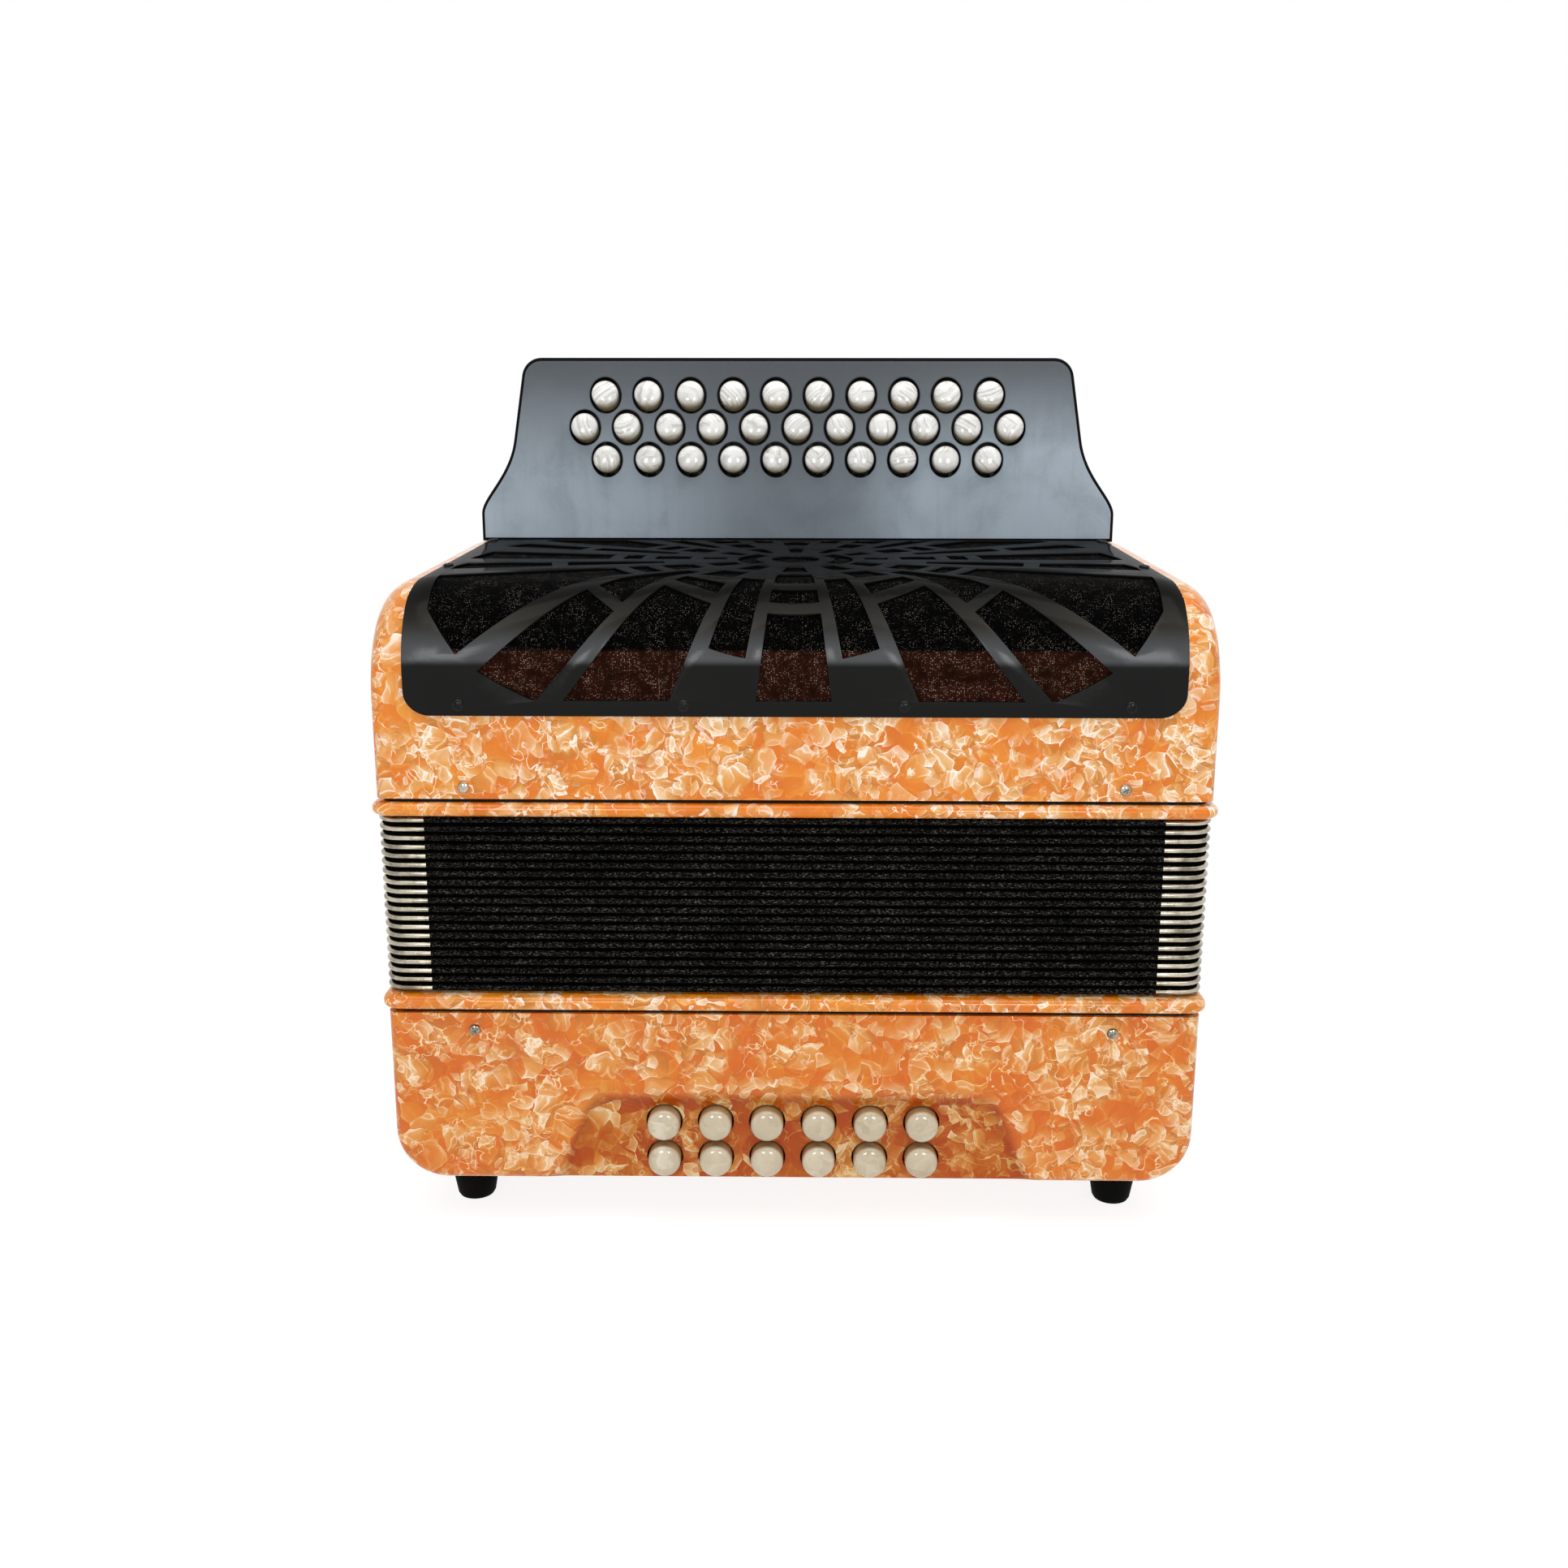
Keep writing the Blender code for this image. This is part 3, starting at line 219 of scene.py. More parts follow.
pearloid = {
    "flake": 0.0072,      # size of the big flakes
    "shard": 0.0040,      # size of the small ones between them
    "lightTones": (
        (0.00, ink(192, 118, 30)), (0.22, ink(214, 140, 56)), (0.45, ink(229, 167, 92)),
        (0.68, ink(237, 199, 150)), (0.88, ink(247, 226, 198)), (1.00, ink(255, 247, 236)),
    ),
    "baseTones": (
        (0.00, ink(214, 108, 0)), (0.35, ink(223, 120, 8)), (0.65, ink(228, 138, 28)), (1.00, ink(232, 165, 74)),
    ),
}


def flakeLayer(finish, point, size, seed):
    # each cell is a tilted flake: bright towards one side, with a few curved folds across it
    cell = {"Vector": point, "Scale": 1 / size, "Randomness": 1.0}
    voronoi = finish.node("ShaderNodeTexVoronoi", values=cell).socket.node
    chance, centre = Link(finish, voronoi.outputs["Color"]), Link(finish, voronoi.outputs["Position"])
    edge = finish.node("ShaderNodeTexVoronoi", {"feature": "DISTANCE_TO_EDGE"}, cell)
    split = finish.node("ShaderNodeSeparateColor", values=[chance]).socket.node
    lean, shine, count = (Link(finish, split.outputs[i]) for i in range(3))
    inside = finish.node("ShaderNodeVectorMath", {"operation": "SUBTRACT"}, [point, centre])
    facing = finish.node("ShaderNodeVectorMath", {"operation": "SUBTRACT"}, [chance, (0.5, 0.5, 0.5)])
    facing = finish.node("ShaderNodeVectorMath", {"operation": "NORMALIZE"}, [facing])
    across = finish.node("ShaderNodeVectorMath", {"operation": "DOT_PRODUCT"}, [inside, facing], out="Value") / size
    curl = finish.noise(1.4 / size, 1, 0.4, at=point)
    folds = ((across * 12.0 + curl * 8.0 + lean * 6.3).sine() * 0.5 + 0.5) ** 9.0
    rim = 1 - edge.rise(0.0, 0.075)
    tone = across * 0.78 + 0.30 + (shine - 0.5) * 0.4
    tone = tone + folds * (0.10 + count * 0.62) - rim * (across < 0.0) * 0.14 + rim * (across > 0.10) * 0.50
    return tone, shine


def pearloidFinish(name, hollow=False):
    size = pearloid
    finish = Finish(name, "orange_pearloid", {
        "Specular IOR Level": 0.25, "Coat Weight": 0.4, "Coat Roughness": 0.03})
    drift = finish.noise(95, 1, 0.35, out="Color")
    warp = 0.0080
    point = finish.node("ShaderNodeVectorMath", {"operation": "MULTIPLY_ADD"},
                        [drift, (warp, warp, warp), finish.point])
    big, shine = flakeLayer(finish, point, size["flake"], 0)
    small, glint = flakeLayer(finish, point, size["shard"], 1)
    patch = finish.noise(62, 2, 0.5)
    light = (shine * 0.50 + patch * 1.1).rise(0.64, 1.10)
    litSmall = (glint * 0.50 + patch * 1.1).rise(0.78, 1.10)
    cloud = finish.noise(34, 2, 0.5)
    base = finish.ramp(cloud.rise(0.25, 0.75) * 0.6 + big * 0.45, size["baseTones"])
    colour = finish.mix(light * 0.9, base, finish.ramp(big, size["lightTones"]))
    colour = finish.mix(litSmall * 0.8, colour, finish.ramp(small, size["lightTones"]))
    vein = 1 - abs(finish.noise(135, 2, 0.5, 0.7) - 0.5).rise(0.003, 0.020)
    glow = vein * finish.noise(95, 2, 0.5).rise(0.46, 0.60)
    colour = finish.mix(glow * 0.9, colour, ink(255, 238, 212))
    if hollow:
        # painted shade: the whole bass case darker and redder, less so where the flakes are light
        colour = finish.mix(1 - light * 0.45, colour, ink(243, 224, 190), "MULTIPLY")
        # painted shade inside the hollow round the bass buttons, darker still on its slopes; the hollow is also less
        # glossy
        bright = finish.math("MAXIMUM", light, litSmall * 0.8)
        sunk = finish.y - frontY
        depth = sunk.rise(0.0002, 0.0024)
        slope = depth * (1 - sunk.rise(0.0022, 0.0036))
        near = (finish.y < frontY + 0.0045) * (abs(finish.x) < 0.106) * (finish.z < 0.064)
        shade = finish.mix(bright, ink(204, 170, 92), ink(236, 228, 206))
        finish.set({"Coat Weight": 0.4 - depth * near * 0.34})
        colour = finish.mix(depth * near * 0.95, colour, shade, "MULTIPLY")
        colour = finish.mix(slope * near * 0.22, colour, ink(176, 148, 118), "MULTIPLY")
    gloss = finish.noise(420, 2) * 0.10 + 0.22
    finish.set({"Base Color": colour, "Roughness": gloss})
    return finish


def clothFinish(name, slot):
    # black cloth over card, with a short twill along the folds
    finish = Finish(name, slot, {"Roughness": 0.92, "Specular IOR Level": 0.02})
    twill = finish.stretched((950.0, 950.0, 2100.0), (0.0, 0.6, 0.0))
    thread = finish.noise(1.0, 3, 0.65, 0.6, at=twill)
    fuzz = finish.noise(2600, 2, 0.7)
    patch = finish.noise(60, 2, 0.5)
    halfX, halfY = bellowsHalf, (bellowsHigh.y - bellowsLow.y) / 2
    side = finish.math("MAXIMUM", abs(finish.x) - halfX, abs(finish.y - middleY) - halfY)
    # painted shade: the inner part of each crest, tucked into the fold, is left near-black without threads
    crest = side.rise(-0.0024, -0.0001)
    light = (thread.rise(0.50, 0.78) * 1.0 + fuzz.rise(0.55, 0.85) * 0.5) * (patch * 1.1 + 0.15)
    tone = finish.mix(light, ink(2, 2, 2), ink(132, 129, 122))
    finish.set({
        "Base Color": finish.mix(crest, ink(1, 1, 1), tone),
        "Normal": finish.bump(thread * 0.7 + fuzz * 0.3, 0.0005, 0.9)})
    return finish


def meshFinish(name):
    # glittery black net behind the grille; the wooden front wall shows brown through its lower part
    finish = Finish(name, "bellows_cloth", {"Specular IOR Level": 0.02})
    flat = finish.node("ShaderNodeTexCoord", out="UV")
    sway = finish.node("ShaderNodeVectorMath", {"operation": "MULTIPLY_ADD"},
                       [finish.noise(300, 2, at=flat, out="Color"), (0.0008, 0.0008, 0.0), flat])
    knot = finish.node("ShaderNodeTexVoronoi", {"voronoi_dimensions": "2D"},
                       {"Vector": sway, "Scale": 1600.0, "Randomness": 0.6}).socket.node
    near, chance = Link(finish, knot.outputs["Distance"]), Link(finish, knot.outputs["Color"])
    glint = finish.node("ShaderNodeSeparateColor", values=[chance])
    crumple = finish.noise(170, 3, 0.6, at=flat)
    wall = 1 - finish.z.rise(trebleLow.z + 0.0545, trebleLow.z + 0.0560)
    base = finish.mix(wall * (crumple.rise(0.25, 0.7) * 0.6 + 0.4), ink(2, 2, 2), ink(46, 20, 10))
    dot = 1 - near.rise(0.10, 0.36)
    spark = dot * (glint.rise(0.45, 1.0) * crumple.rise(0.34, 0.72)) * (0.50 + wall * 0.75)
    finish.set({
        "Base Color": finish.mix(spark, base, ink(186, 172, 160)),
        "Roughness": 0.9 - dot * 0.2,
        "Normal": finish.bump(dot + crumple * 0.8, 0.0004, 0.7)})
    return finish


def satinFinish(name, slot):
    # satin black board with painted sheen, lighter below and beside the buttons, most on the right
    finish = Finish(name, slot, {"Specular IOR Level": 0.4})
    height = finish.z - boardLow.z
    paintedSheen = height.rise(0.086, 0.010) * (abs(finish.x).rise(0.005, 0.092) * 0.62 + 0.34)
    paintedSheen = paintedSheen * (finish.x.rise(-0.02, 0.09) * 0.55 + 1.0)
    smudge = finish.noise(34, 5, 0.62, 0.5).rise(0.40, 0.78)
    streak = finish.noise(1.0, 3, 0.6, at=finish.stretched((260.0, 1.0, 26.0))).rise(0.45, 0.85)
    grain = finish.noise(900, 2, 0.5)
    # painted sheen: the face runs from dark grey to a light blue-grey by this mask
    tone = finish.mix(paintedSheen, ink(56, 62, 68), ink(166, 180, 192))
    tone = finish.mix(smudge * 0.34 + streak * 0.12, tone, ink(80, 87, 95))
    finish.set({
        "Base Color": finish.mix(grain * 0.10, tone, ink(40, 42, 46)),
        "Roughness": 0.36 + smudge * 0.10 + grain * 0.06,
        "Normal": finish.bump(grain, 0.00004, 0.5)})
    return finish


def enamelFinish(name):
    finish = Finish(name, "grille_black", {"Specular IOR Level": 0.16})
    peel = finish.noise(520, 2, 0.5)
    dust = finish.noise(2400, 2, 0.7).rise(0.72, 0.86)
    # wear in tone and roughness; the same noise varies the painted highlight and painted shade below
    wearAndPaintedLight = finish.noise(45, 3, 0.6)
    foot = bendFoot()
    # painted highlight: a grey band on the bend just above its foot
    paintedHighlight = finish.z.rise(foot + 0.0012, foot + 0.0040) * (1 - finish.z.rise(foot + 0.0060, foot + 0.0190))
    # painted reflection: a warm brown band higher up the bend
    paintedReflection = finish.z.rise(foot + 0.0060, foot + 0.0150) * (1 - finish.z.rise(foot + 0.0180, foot + 0.0290))
    base = finish.mix(wearAndPaintedLight * 0.5, ink(3, 3, 2), ink(11, 10, 8))
    base = finish.mix(paintedReflection * 0.8, base, ink(42, 38, 28))
    base = finish.mix(paintedHighlight * (wearAndPaintedLight * 0.4 + 0.6), base, ink(78, 80, 82))
    finish.set({
        "Base Color": finish.mix(dust * 0.25, base, ink(80, 76, 70)),
        "Roughness": wearAndPaintedLight * 0.06 + 0.16,
        "Normal": finish.bump(peel, 0.00006, 0.5)})
    # painted shade: near the top the enamel is blended into a dark matt surface that reflects less
    paintedShadeTop = finish.z.rise(trebleHigh.z - 0.026, trebleHigh.z - 0.007) * (0.78 - wearAndPaintedLight * 0.12)
    matt = finish.node("ShaderNodeBsdfDiffuse", values={"Color": ink(14, 14, 13)})
    blended = finish.node("ShaderNodeMixShader", values={0: paintedShadeTop, 1: Link(finish, finish.shader.outputs[0]), 2: matt})
    finish.feed(finish.tree.nodes["Material Output"].inputs["Surface"], blended)
    return finish


def pearlFinish(name, slot, tones, streak, shade=None, shadeRows=None):
    # pearl plastic with soft streaks that run another way on each button
    finish = Finish(name, slot, {"Specular IOR Level": 0.4, "Coat Weight": 0.6, "Coat Roughness": 0.03})
    block = finish.cells(60, at=finish.stretched((1.0, 0.2, 1.0)), out="Color", randomness=0.3)
    way = finish.node("ShaderNodeVectorMath", {"operation": "SUBTRACT"}, [block, (0.5, 0.5, 0.5)])
    along = finish.node("ShaderNodeVectorMath", {"operation": "DOT_PRODUCT"}, [finish.point, way], out="Value")
    drift = finish.noise(260, 3, 0.55)
    bands = finish.node("ShaderNodeTexNoise", {"noise_dimensions": "1D"},
                        {"W": along * streak + drift * 1.3, "Scale": 1.0, "Detail": 3.0, "Roughness": 0.6})
    veil = finish.noise(140, 2)
    colour = finish.ramp(bands * 0.8 + veil * 0.25, tones)
    if shadeRows:
        # painted shade: the lower part of each treble button turns tan, row by row
        foot = finish.math("FRACT", (finish.z - shadeRows[0]) / shadeRows[1])
        colour = finish.mix(1 - foot.rise(-0.02, 0.42), colour, ink(176, 156, 114))
    finish.set({"Base Color": colour, "Roughness": 0.12 + drift * 0.08})
    if shade:
        # painted shade on the buttons' sides where they sink behind the board or case front
        depth = finish.y.rise(shade[0], shade[0] + 0.0012)
        finish.set({"Base Color": finish.mix(depth * 0.85, colour, shade[1])})
    return finish


def metalFinish(name, slot, light, dark, roughness, scratch=(40.0, 400.0, 400.0)):
    finish = Finish(name, slot, {"Metallic": 1.0})
    brush = finish.noise(1.0, 3, 0.6, at=finish.stretched(scratch))
    stain = finish.noise(120, 3, 0.6)
    finish.set({
        "Base Color": finish.mix(stain.rise(0.35, 0.75), light, dark),
        "Roughness": roughness + brush * 0.08 + stain * 0.05,
        "Normal": finish.bump(brush, 0.00002, 0.4)})
    return finish


def woodFinish(name):
    finish = Finish(name, "spruce", {})
    rings = finish.noise(1.0, 4, 0.6, 0.8, at=finish.stretched((12.0, 240.0, 240.0)))
    pores = finish.noise(1.0, 2, 0.6, at=finish.stretched((120.0, 1600.0, 1600.0)))
    colour = finish.ramp(rings, ((0.30, ink(142, 98, 58)), (0.52, ink(188, 142, 92)), (0.72, ink(208, 168, 118))))
    finish.set({
        "Base Color": finish.mix(pores.rise(0.55, 0.8) * 0.4, colour, ink(104, 66, 38)),
        "Roughness": 0.55 + pores * 0.15,
        "Normal": finish.bump(rings + pores * 0.5, 0.0002, 0.4)})
    return finish


def rubberFinish(name):
    finish = Finish(name, "black_rubber", {"Specular IOR Level": 0.06})
    speck = finish.noise(1500, 3, 0.7)
    dust = finish.noise(90, 3, 0.6)
    finish.set({
        "Base Color": finish.mix(dust.rise(0.5, 0.85) * 0.5, ink(5, 5, 4), ink(24, 22, 19)),
        "Roughness": 0.62 + speck * 0.25,
        "Normal": finish.bump(speck, 0.00012, 0.6)})
    return finish


def leatherFinish(name):
    finish = Finish(name, "black_leather", {})
    pebble = finish.cells(900, "SMOOTH_F1")
    crease = finish.noise(180, 4, 0.6, 0.8)
    edge = abs(finish.y - middleY).rise(0.0236, 0.0249)
    finish.set({
        "Base Color": finish.mix(crease.rise(0.45, 0.8) * 0.5 + edge * 0.3, ink(24, 22, 21), ink(58, 52, 48)),
        "Roughness": 0.48 + crease * 0.25,
        "Normal": finish.bump(pebble * 0.7 + crease * 0.6, 0.0004, 0.7)})
    return finish


def plainFinish(name, slot, dark, light, roughness, fleck=800, shine=0.25):
    # felt, thread and blackened steel: two tones broken by fine noise
    finish = Finish(name, slot, {"Specular IOR Level": shine})
    grain = finish.noise(fleck, 3, 0.65)
    finish.set({
        "Base Color": finish.mix(grain.rise(0.3, 0.75), dark, light),
        "Roughness": roughness + grain * 0.1,
        "Normal": finish.bump(grain, 0.0001, 0.5)})
    return finish


shellPearl = pearloidFinish("orange_pearloid")
# a copy of the pearloid with painted shade, for the bass case
shadedHollowPearl = pearloidFinish("orange_pearloid_shaded", hollow=True)
bellowsCloth = clothFinish("black_bellows_cloth", "bellows_cloth")
bellowsCard = plainFinish("black_bellows_card", "bellows_cloth", ink(4, 4, 4), ink(20, 19, 18), 0.85, 400, shine=0.05)
netCloth = meshFinish("black_net")
boardSatin = satinFinish("satin_black", "fingerboard_satin")
boardEdge = plainFinish("black_edge", "fingerboard_satin", ink(3, 3, 3), ink(12, 12, 13), 0.55, shine=0.06)
coverSatin = plainFinish("satin_cover", "fingerboard_satin", ink(18, 19, 20), ink(34, 35, 37), 0.34, 60, shine=0.3)
grilleEnamel = enamelFinish("black_enamel")
treblePearl = pearlFinish("white_pearl", "treble_pearl", (
    (0.26, ink(168, 164, 154)), (0.42, ink(208, 206, 199)), (0.54, ink(232, 231, 227)), (0.74, ink(250, 250, 249))), 1300,
    (boardLow.y - 0.0022, ink(172, 150, 108)), (boardLow.z + 0.0363 - 0.0070, 0.0140))
bassPearl = pearlFinish("cream_pearl", "bass_pearl", (
    (0.20, ink(164, 150, 122)), (0.42, ink(186, 172, 144)), (0.60, ink(200, 188, 162)), (0.85, ink(222, 213, 192))), 260,
    (frontY - 0.0012, ink(158, 128, 84)))
nickel = metalFinish("nickel", "steel", ink(206, 200, 188), ink(166, 158, 144), 0.16)
guardNickel = metalFinish("guard_nickel", "steel", ink(192, 185, 168), ink(116, 108, 93), 0.09)
screwNickel = metalFinish("screw_nickel", "steel", ink(186, 180, 164), ink(74, 70, 60), 0.08)
drawnSteel = metalFinish("drawn_steel", "steel", ink(190, 190, 190), ink(150, 150, 148), 0.28)
dullSteel = metalFinish("dull_steel", "steel", ink(72, 70, 67), ink(46, 45, 43), 0.42)
blackSteel = plainFinish("black_steel", "grille_black", ink(3, 3, 3), ink(15, 14, 13), 0.20, shine=0.2)
bareSpruce = woodFinish("bare_spruce")
footRubber = rubberFinish("foot_rubber")
strapLeather = leatherFinish("strap_leather")
strapThread = plainFinish("strap_thread", "black_leather", ink(70, 66, 60), ink(120, 114, 104), 0.8, 1600)
gasketFelt = plainFinish("gasket_felt", "black_leather", ink(8, 8, 8), ink(26, 25, 24), 0.85)
print("finishes made")


# ---- shaping

def pieceFrom(bm, name, body, finish, nodes=(), sharp=35.0, finishes=()):
    # closes off a bmesh as a piece of the object that rides on a body
    bm.normal_update()
    mesh = bpy.data.meshes.new(name)
    bm.to_mesh(mesh)
    bm.free()
    return pieceOf(mesh, name, body, finish, nodes, sharp, finishes)


def pieceOf(mesh, name, body, finish, nodes=(), sharp=35.0, finishes=()):
    piece = bpy.data.objects.new(name, mesh)
    bpy.context.scene.collection.objects.link(piece)
    for one in (finish, *finishes):
        mesh.materials.append(one.material)
    mesh.shade_smooth()
    mesh.set_sharp_from_angle(angle=math.radians(sharp))
    if body:
        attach(piece, body)
    if nodes:
        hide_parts(*nodes)
    return piece


def settled(bm, modifiers=(), cutters=()):
    # a mesh with modifiers and cuts already in it
    mesh = bpy.data.meshes.new("settled")
    bm.to_mesh(mesh)
    bm.free()
    holder = bpy.data.objects.new("holder", mesh)
    bpy.context.scene.collection.objects.link(holder)
    tools = []
    for kind, settings in modifiers:
        modifier = holder.modifiers.new(kind.lower(), kind)
        for name, value in settings.items():
            setattr(modifier, name, value)
    for cutter in cutters:
        cut = bpy.data.meshes.new("cutter")
        cutter.to_mesh(cut)
        cutter.free()
        tool = bpy.data.objects.new("cutter", cut)
        bpy.context.scene.collection.objects.link(tool)
        tools.append(tool)
        modifier = holder.modifiers.new("cut", "BOOLEAN")
        modifier.object = tool
    result = bpy.data.meshes.new_from_object(holder.evaluated_get(bpy.context.evaluated_depsgraph_get()))
    for done in [holder, *tools]:
        bpy.data.objects.remove(done, do_unlink=True)
    return result


def vertsIn(geometry):
    return [item for item in geometry if isinstance(item, bmesh.types.BMVert)]


def edgesIn(geometry):
    return [item for item in geometry if isinstance(item, bmesh.types.BMEdge)]


def roundOver(bm, edges, radius, segments):
    return bmesh.ops.bevel(bm, geom=list(edges), offset=radius, segments=segments, profile=0.5, affect="EDGES",
                           material=-1, clamp_overlap=True)


def boxAt(bm, low, high):
    made = bmesh.ops.create_cube(bm, size=1.0)["verts"]
    low, high = Vector(low), Vector(high)
    bmesh.ops.scale(bm, vec=high - low, verts=made)
    bmesh.ops.translate(bm, vec=(low + high) / 2, verts=made)
    return made


def pushFace(bm, face):
    # extrudes the end face of a solid and drops the old one
    alone = all(len(edge.link_faces) == 1 for edge in face.edges)
    pushed = bmesh.ops.extrude_face_region(bm, geom=[face])["geom"]
    if not alone:
        bmesh.ops.delete(bm, geom=[face], context="FACES_ONLY")
    return next(item for item in pushed if isinstance(item, bmesh.types.BMFace))


def turnedBody(bm, profile, centre, axis="Z", steps=32):
    # spins (radius, height) pairs round an axis; profiles start and end on the axis
    across, along = {"Z": ((1, 0, 0), (0, 0, 1)), "Y": ((1, 0, 0), (0, 1, 0)), "X": ((0, 1, 0), (1, 0, 0))}[axis]
    centre = Vector(centre)
    verts = [bm.verts.new(centre + Vector(across) * radius + Vector(along) * height) for radius, height in profile]
    edges = [bm.edges.new(pair) for pair in zip(verts, verts[1:])]
    bmesh.ops.spin(bm, geom=verts + edges, cent=centre, axis=along, angle=2 * math.pi, steps=steps, use_merge=True)
    bmesh.ops.remove_doubles(bm, verts=bm.verts, dist=1e-6)
    return bm


def outwards(bm):
    bmesh.ops.remove_doubles(bm, verts=bm.verts, dist=1e-7)
    bm.normal_update()
    bmesh.ops.recalc_face_normals(bm, faces=bm.faces)
    return bm


# ---- treble case: one swept shape, bent over at the front and rounded down at both sides

def makeTrebleCase():
    size = trebleCase
    slope = size["slope"]
    apex = trebleHigh.z - (boardLow.y - frontY) * math.tan(slope)
    bm = bmesh.new()
    corners = [(frontY, trebleLow.z), (frontY, apex), (boardLow.y, trebleHigh.z), (rearY, trebleHigh.z),
               (rearY, trebleLow.z)]
    end = bm.faces.new([bm.verts.new((-halfWidth, y, z)) for y, z in corners])
    bm.verts.ensure_lookup_table()
    reach = size["bendRadius"] / math.tan((math.pi / 2 + slope) / 2)
    bmesh.ops.bevel(bm, geom=[bm.verts[1]], offset=reach, segments=18, profile=0.5, affect="VERTICES", material=-1)
    end = next(iter(bm.faces))
    turns = [math.radians(7.5 * step) for step in range(13)]
    side = [halfWidth - size["sideRadius"] * (1 - math.sin(turn)) for turn in turns]
    stations = [-x for x in reversed(side)] + side
    x = -halfWidth
    for vert in end.verts:
        if vert.co.z > trebleLow.z:
            vert.co.z -= dropAt(x, size["sideRadius"])
    for nextX in stations[1:]:
        end = pushFace(bm, end)
        for vert in end.verts:
            vert.co.x = nextX
            if vert.co.z > trebleLow.z:
                vert.co.z += dropAt(x, size["sideRadius"]) - dropAt(nextX, size["sideRadius"])
        x = nextX
    radius = size["cornerRadius"]
    for vert in bm.verts:
        reach = abs(vert.co.x) - (halfWidth - radius)
        if reach > 0:
            back = radius - math.sqrt(max(radius ** 2 - reach ** 2, 0))
            fade = max(1 - (vert.co.y - frontY) / size["bendRadius"], 0.0)
            vert.co.y += back * fade ** 2
            if vert.co.y > rearY - radius:
                vert.co.y -= back
    outwards(bm)
    bmesh.ops.delete(bm, geom=[f for f in bm.faces if f.normal.z < -0.9], context="FACES")
    sill, rear = trebleLow.z + size["windowSill"], size["windowRear"]
    cuts = [((side * size["windowHalf"], 0, 0), (1, 0, 0)) for side in (-1, 1)]
    cuts += [((0, 0, sill), (0, 0, 1)), ((0, rear, 0), (0, 1, 0))]
    for place, normal in cuts:
        bmesh.ops.bisect_plane(bm, geom=bm.verts[:] + bm.edges[:] + bm.faces[:], dist=1e-6, plane_co=place,
                               plane_no=normal)
    opened = []
    for face in bm.faces:
        middle = face.calc_center_median()
        if abs(middle.x) < size["windowHalf"] and middle.z > sill and middle.y < rear:
            opened.append(face)
    bmesh.ops.delete(bm, geom=opened, context="FACES")
    shell = settled(bm, [("SOLIDIFY", {"thickness": size["wall"], "offset": -1.0, "use_even_offset": True})])
    pieceOf(shell, "treble_shell", "treble", shellPearl, ["treble_case"], sharp=40)


makeTrebleCase()
print("treble case made")


# ---- grille: a flat web of ribs, cut out and then bent over the case

grille = {
    "thickness": 0.0010,
    "lift": 0.0002,
    "halfWidth": 0.1421,
    "sideRadius": 0.021,        # turns down a little earlier than the case below it
    "foot": 0.0314,             # above the case's lower edge
    "cornerRadius": 0.0095,
    "border": 0.00575,
    "rearBorder": 0.0040,
    "sideBorder": 0.0086,
    "centre": 0.1145,           # of the web, along the sheet from its foot
    "hole": 0.0097,
    "edge": 0.00028,
}

# openings of half the web: angles from straight down, then spans of distance from the centre in mm
webOpenings = (
    (10.6, 19.0, ((58, 95),)),
    (22.6, 37.6, ((25, 38), (44.5, 59.5), (66, 73), (78.5, 200))),
    (41.0, 49.1, ((54.5, 95.5),)),
    (40.7, 49.5, ((100.3, 144.0, 151.0),)),
    (53.0, 69.0, ((26, 37.7), (44, 57), (62.5, 70.3), (76, 153.4))),
    (76.0, 84.0, ((53.5, 92), (98.2, 140.0, 131.0))),
    (90.0, 101.5, ((28.2, 37.8), (43, 57.4), (63, 70.5), (76, 133.0, 130.5))),
    (109.2, 115.0, ((53.5, 92), (98, 134.0, 131.0))),
    (120.3, 132.5, ((26, 37), (44, 57), (62, 70), (76, 130.5))),
    (138.5, 143.5, ((54, 200),)),
    (149.0, 158.5, ((25, 40), (46, 60), (66, 200))),
    (163.5, 170.5, ((62, 200),)),
    (48.0, 138.0, ((15.8, 23.3),)),
)
webMiddle = (
    (-7.2, 7.2, ((25.5, 40.4), (46.6, 61), (65.6, 72.5), (77.3, 200))),
    (174.5, 185.5, ((24, 38.6), (51, 64))),
)


def sheetLengths():
    slope, radius = trebleCase["slope"], trebleCase["bendRadius"]
    front = bendFoot() - (trebleLow.z + grille["foot"])
    run = boardLow.y - frontY - radius + radius * math.sin(slope) - gap
    return front, radius * (math.pi / 2 - slope), run / math.cos(slope)


def sheetPoint(x, along, lift):
    front, bend, _ = sheetLengths()
    slope, radius = trebleCase["slope"], trebleCase["bendRadius"]
    foot, drop = trebleLow.z + grille["foot"], dropAt(x, grille["sideRadius"])
    if along <= front:
        return Vector((x, frontY - lift, foot + along * (bendFoot() - drop - foot) / front))
    turn = min(along - front, bend) / radius
    past = max(along - front - bend, 0.0)
    y = frontY + radius - (radius + lift) * math.cos(turn) + past * math.cos(slope)
    return Vector((x, y, bendFoot() + (radius + lift) * math.sin(turn) + past * math.sin(slope) - drop))


def arcPoints(radius, start, end, steps, centre=(0.0, 0.0), last=None):
    points = []
    for step in range(steps + 1):
        turn = math.radians(start + (end - start) * step / steps)
        reach = radius + ((last or radius) - radius) * step / steps
        points.append((centre[0] + reach * math.cos(turn), centre[1] + reach * math.sin(turn)))
    return points


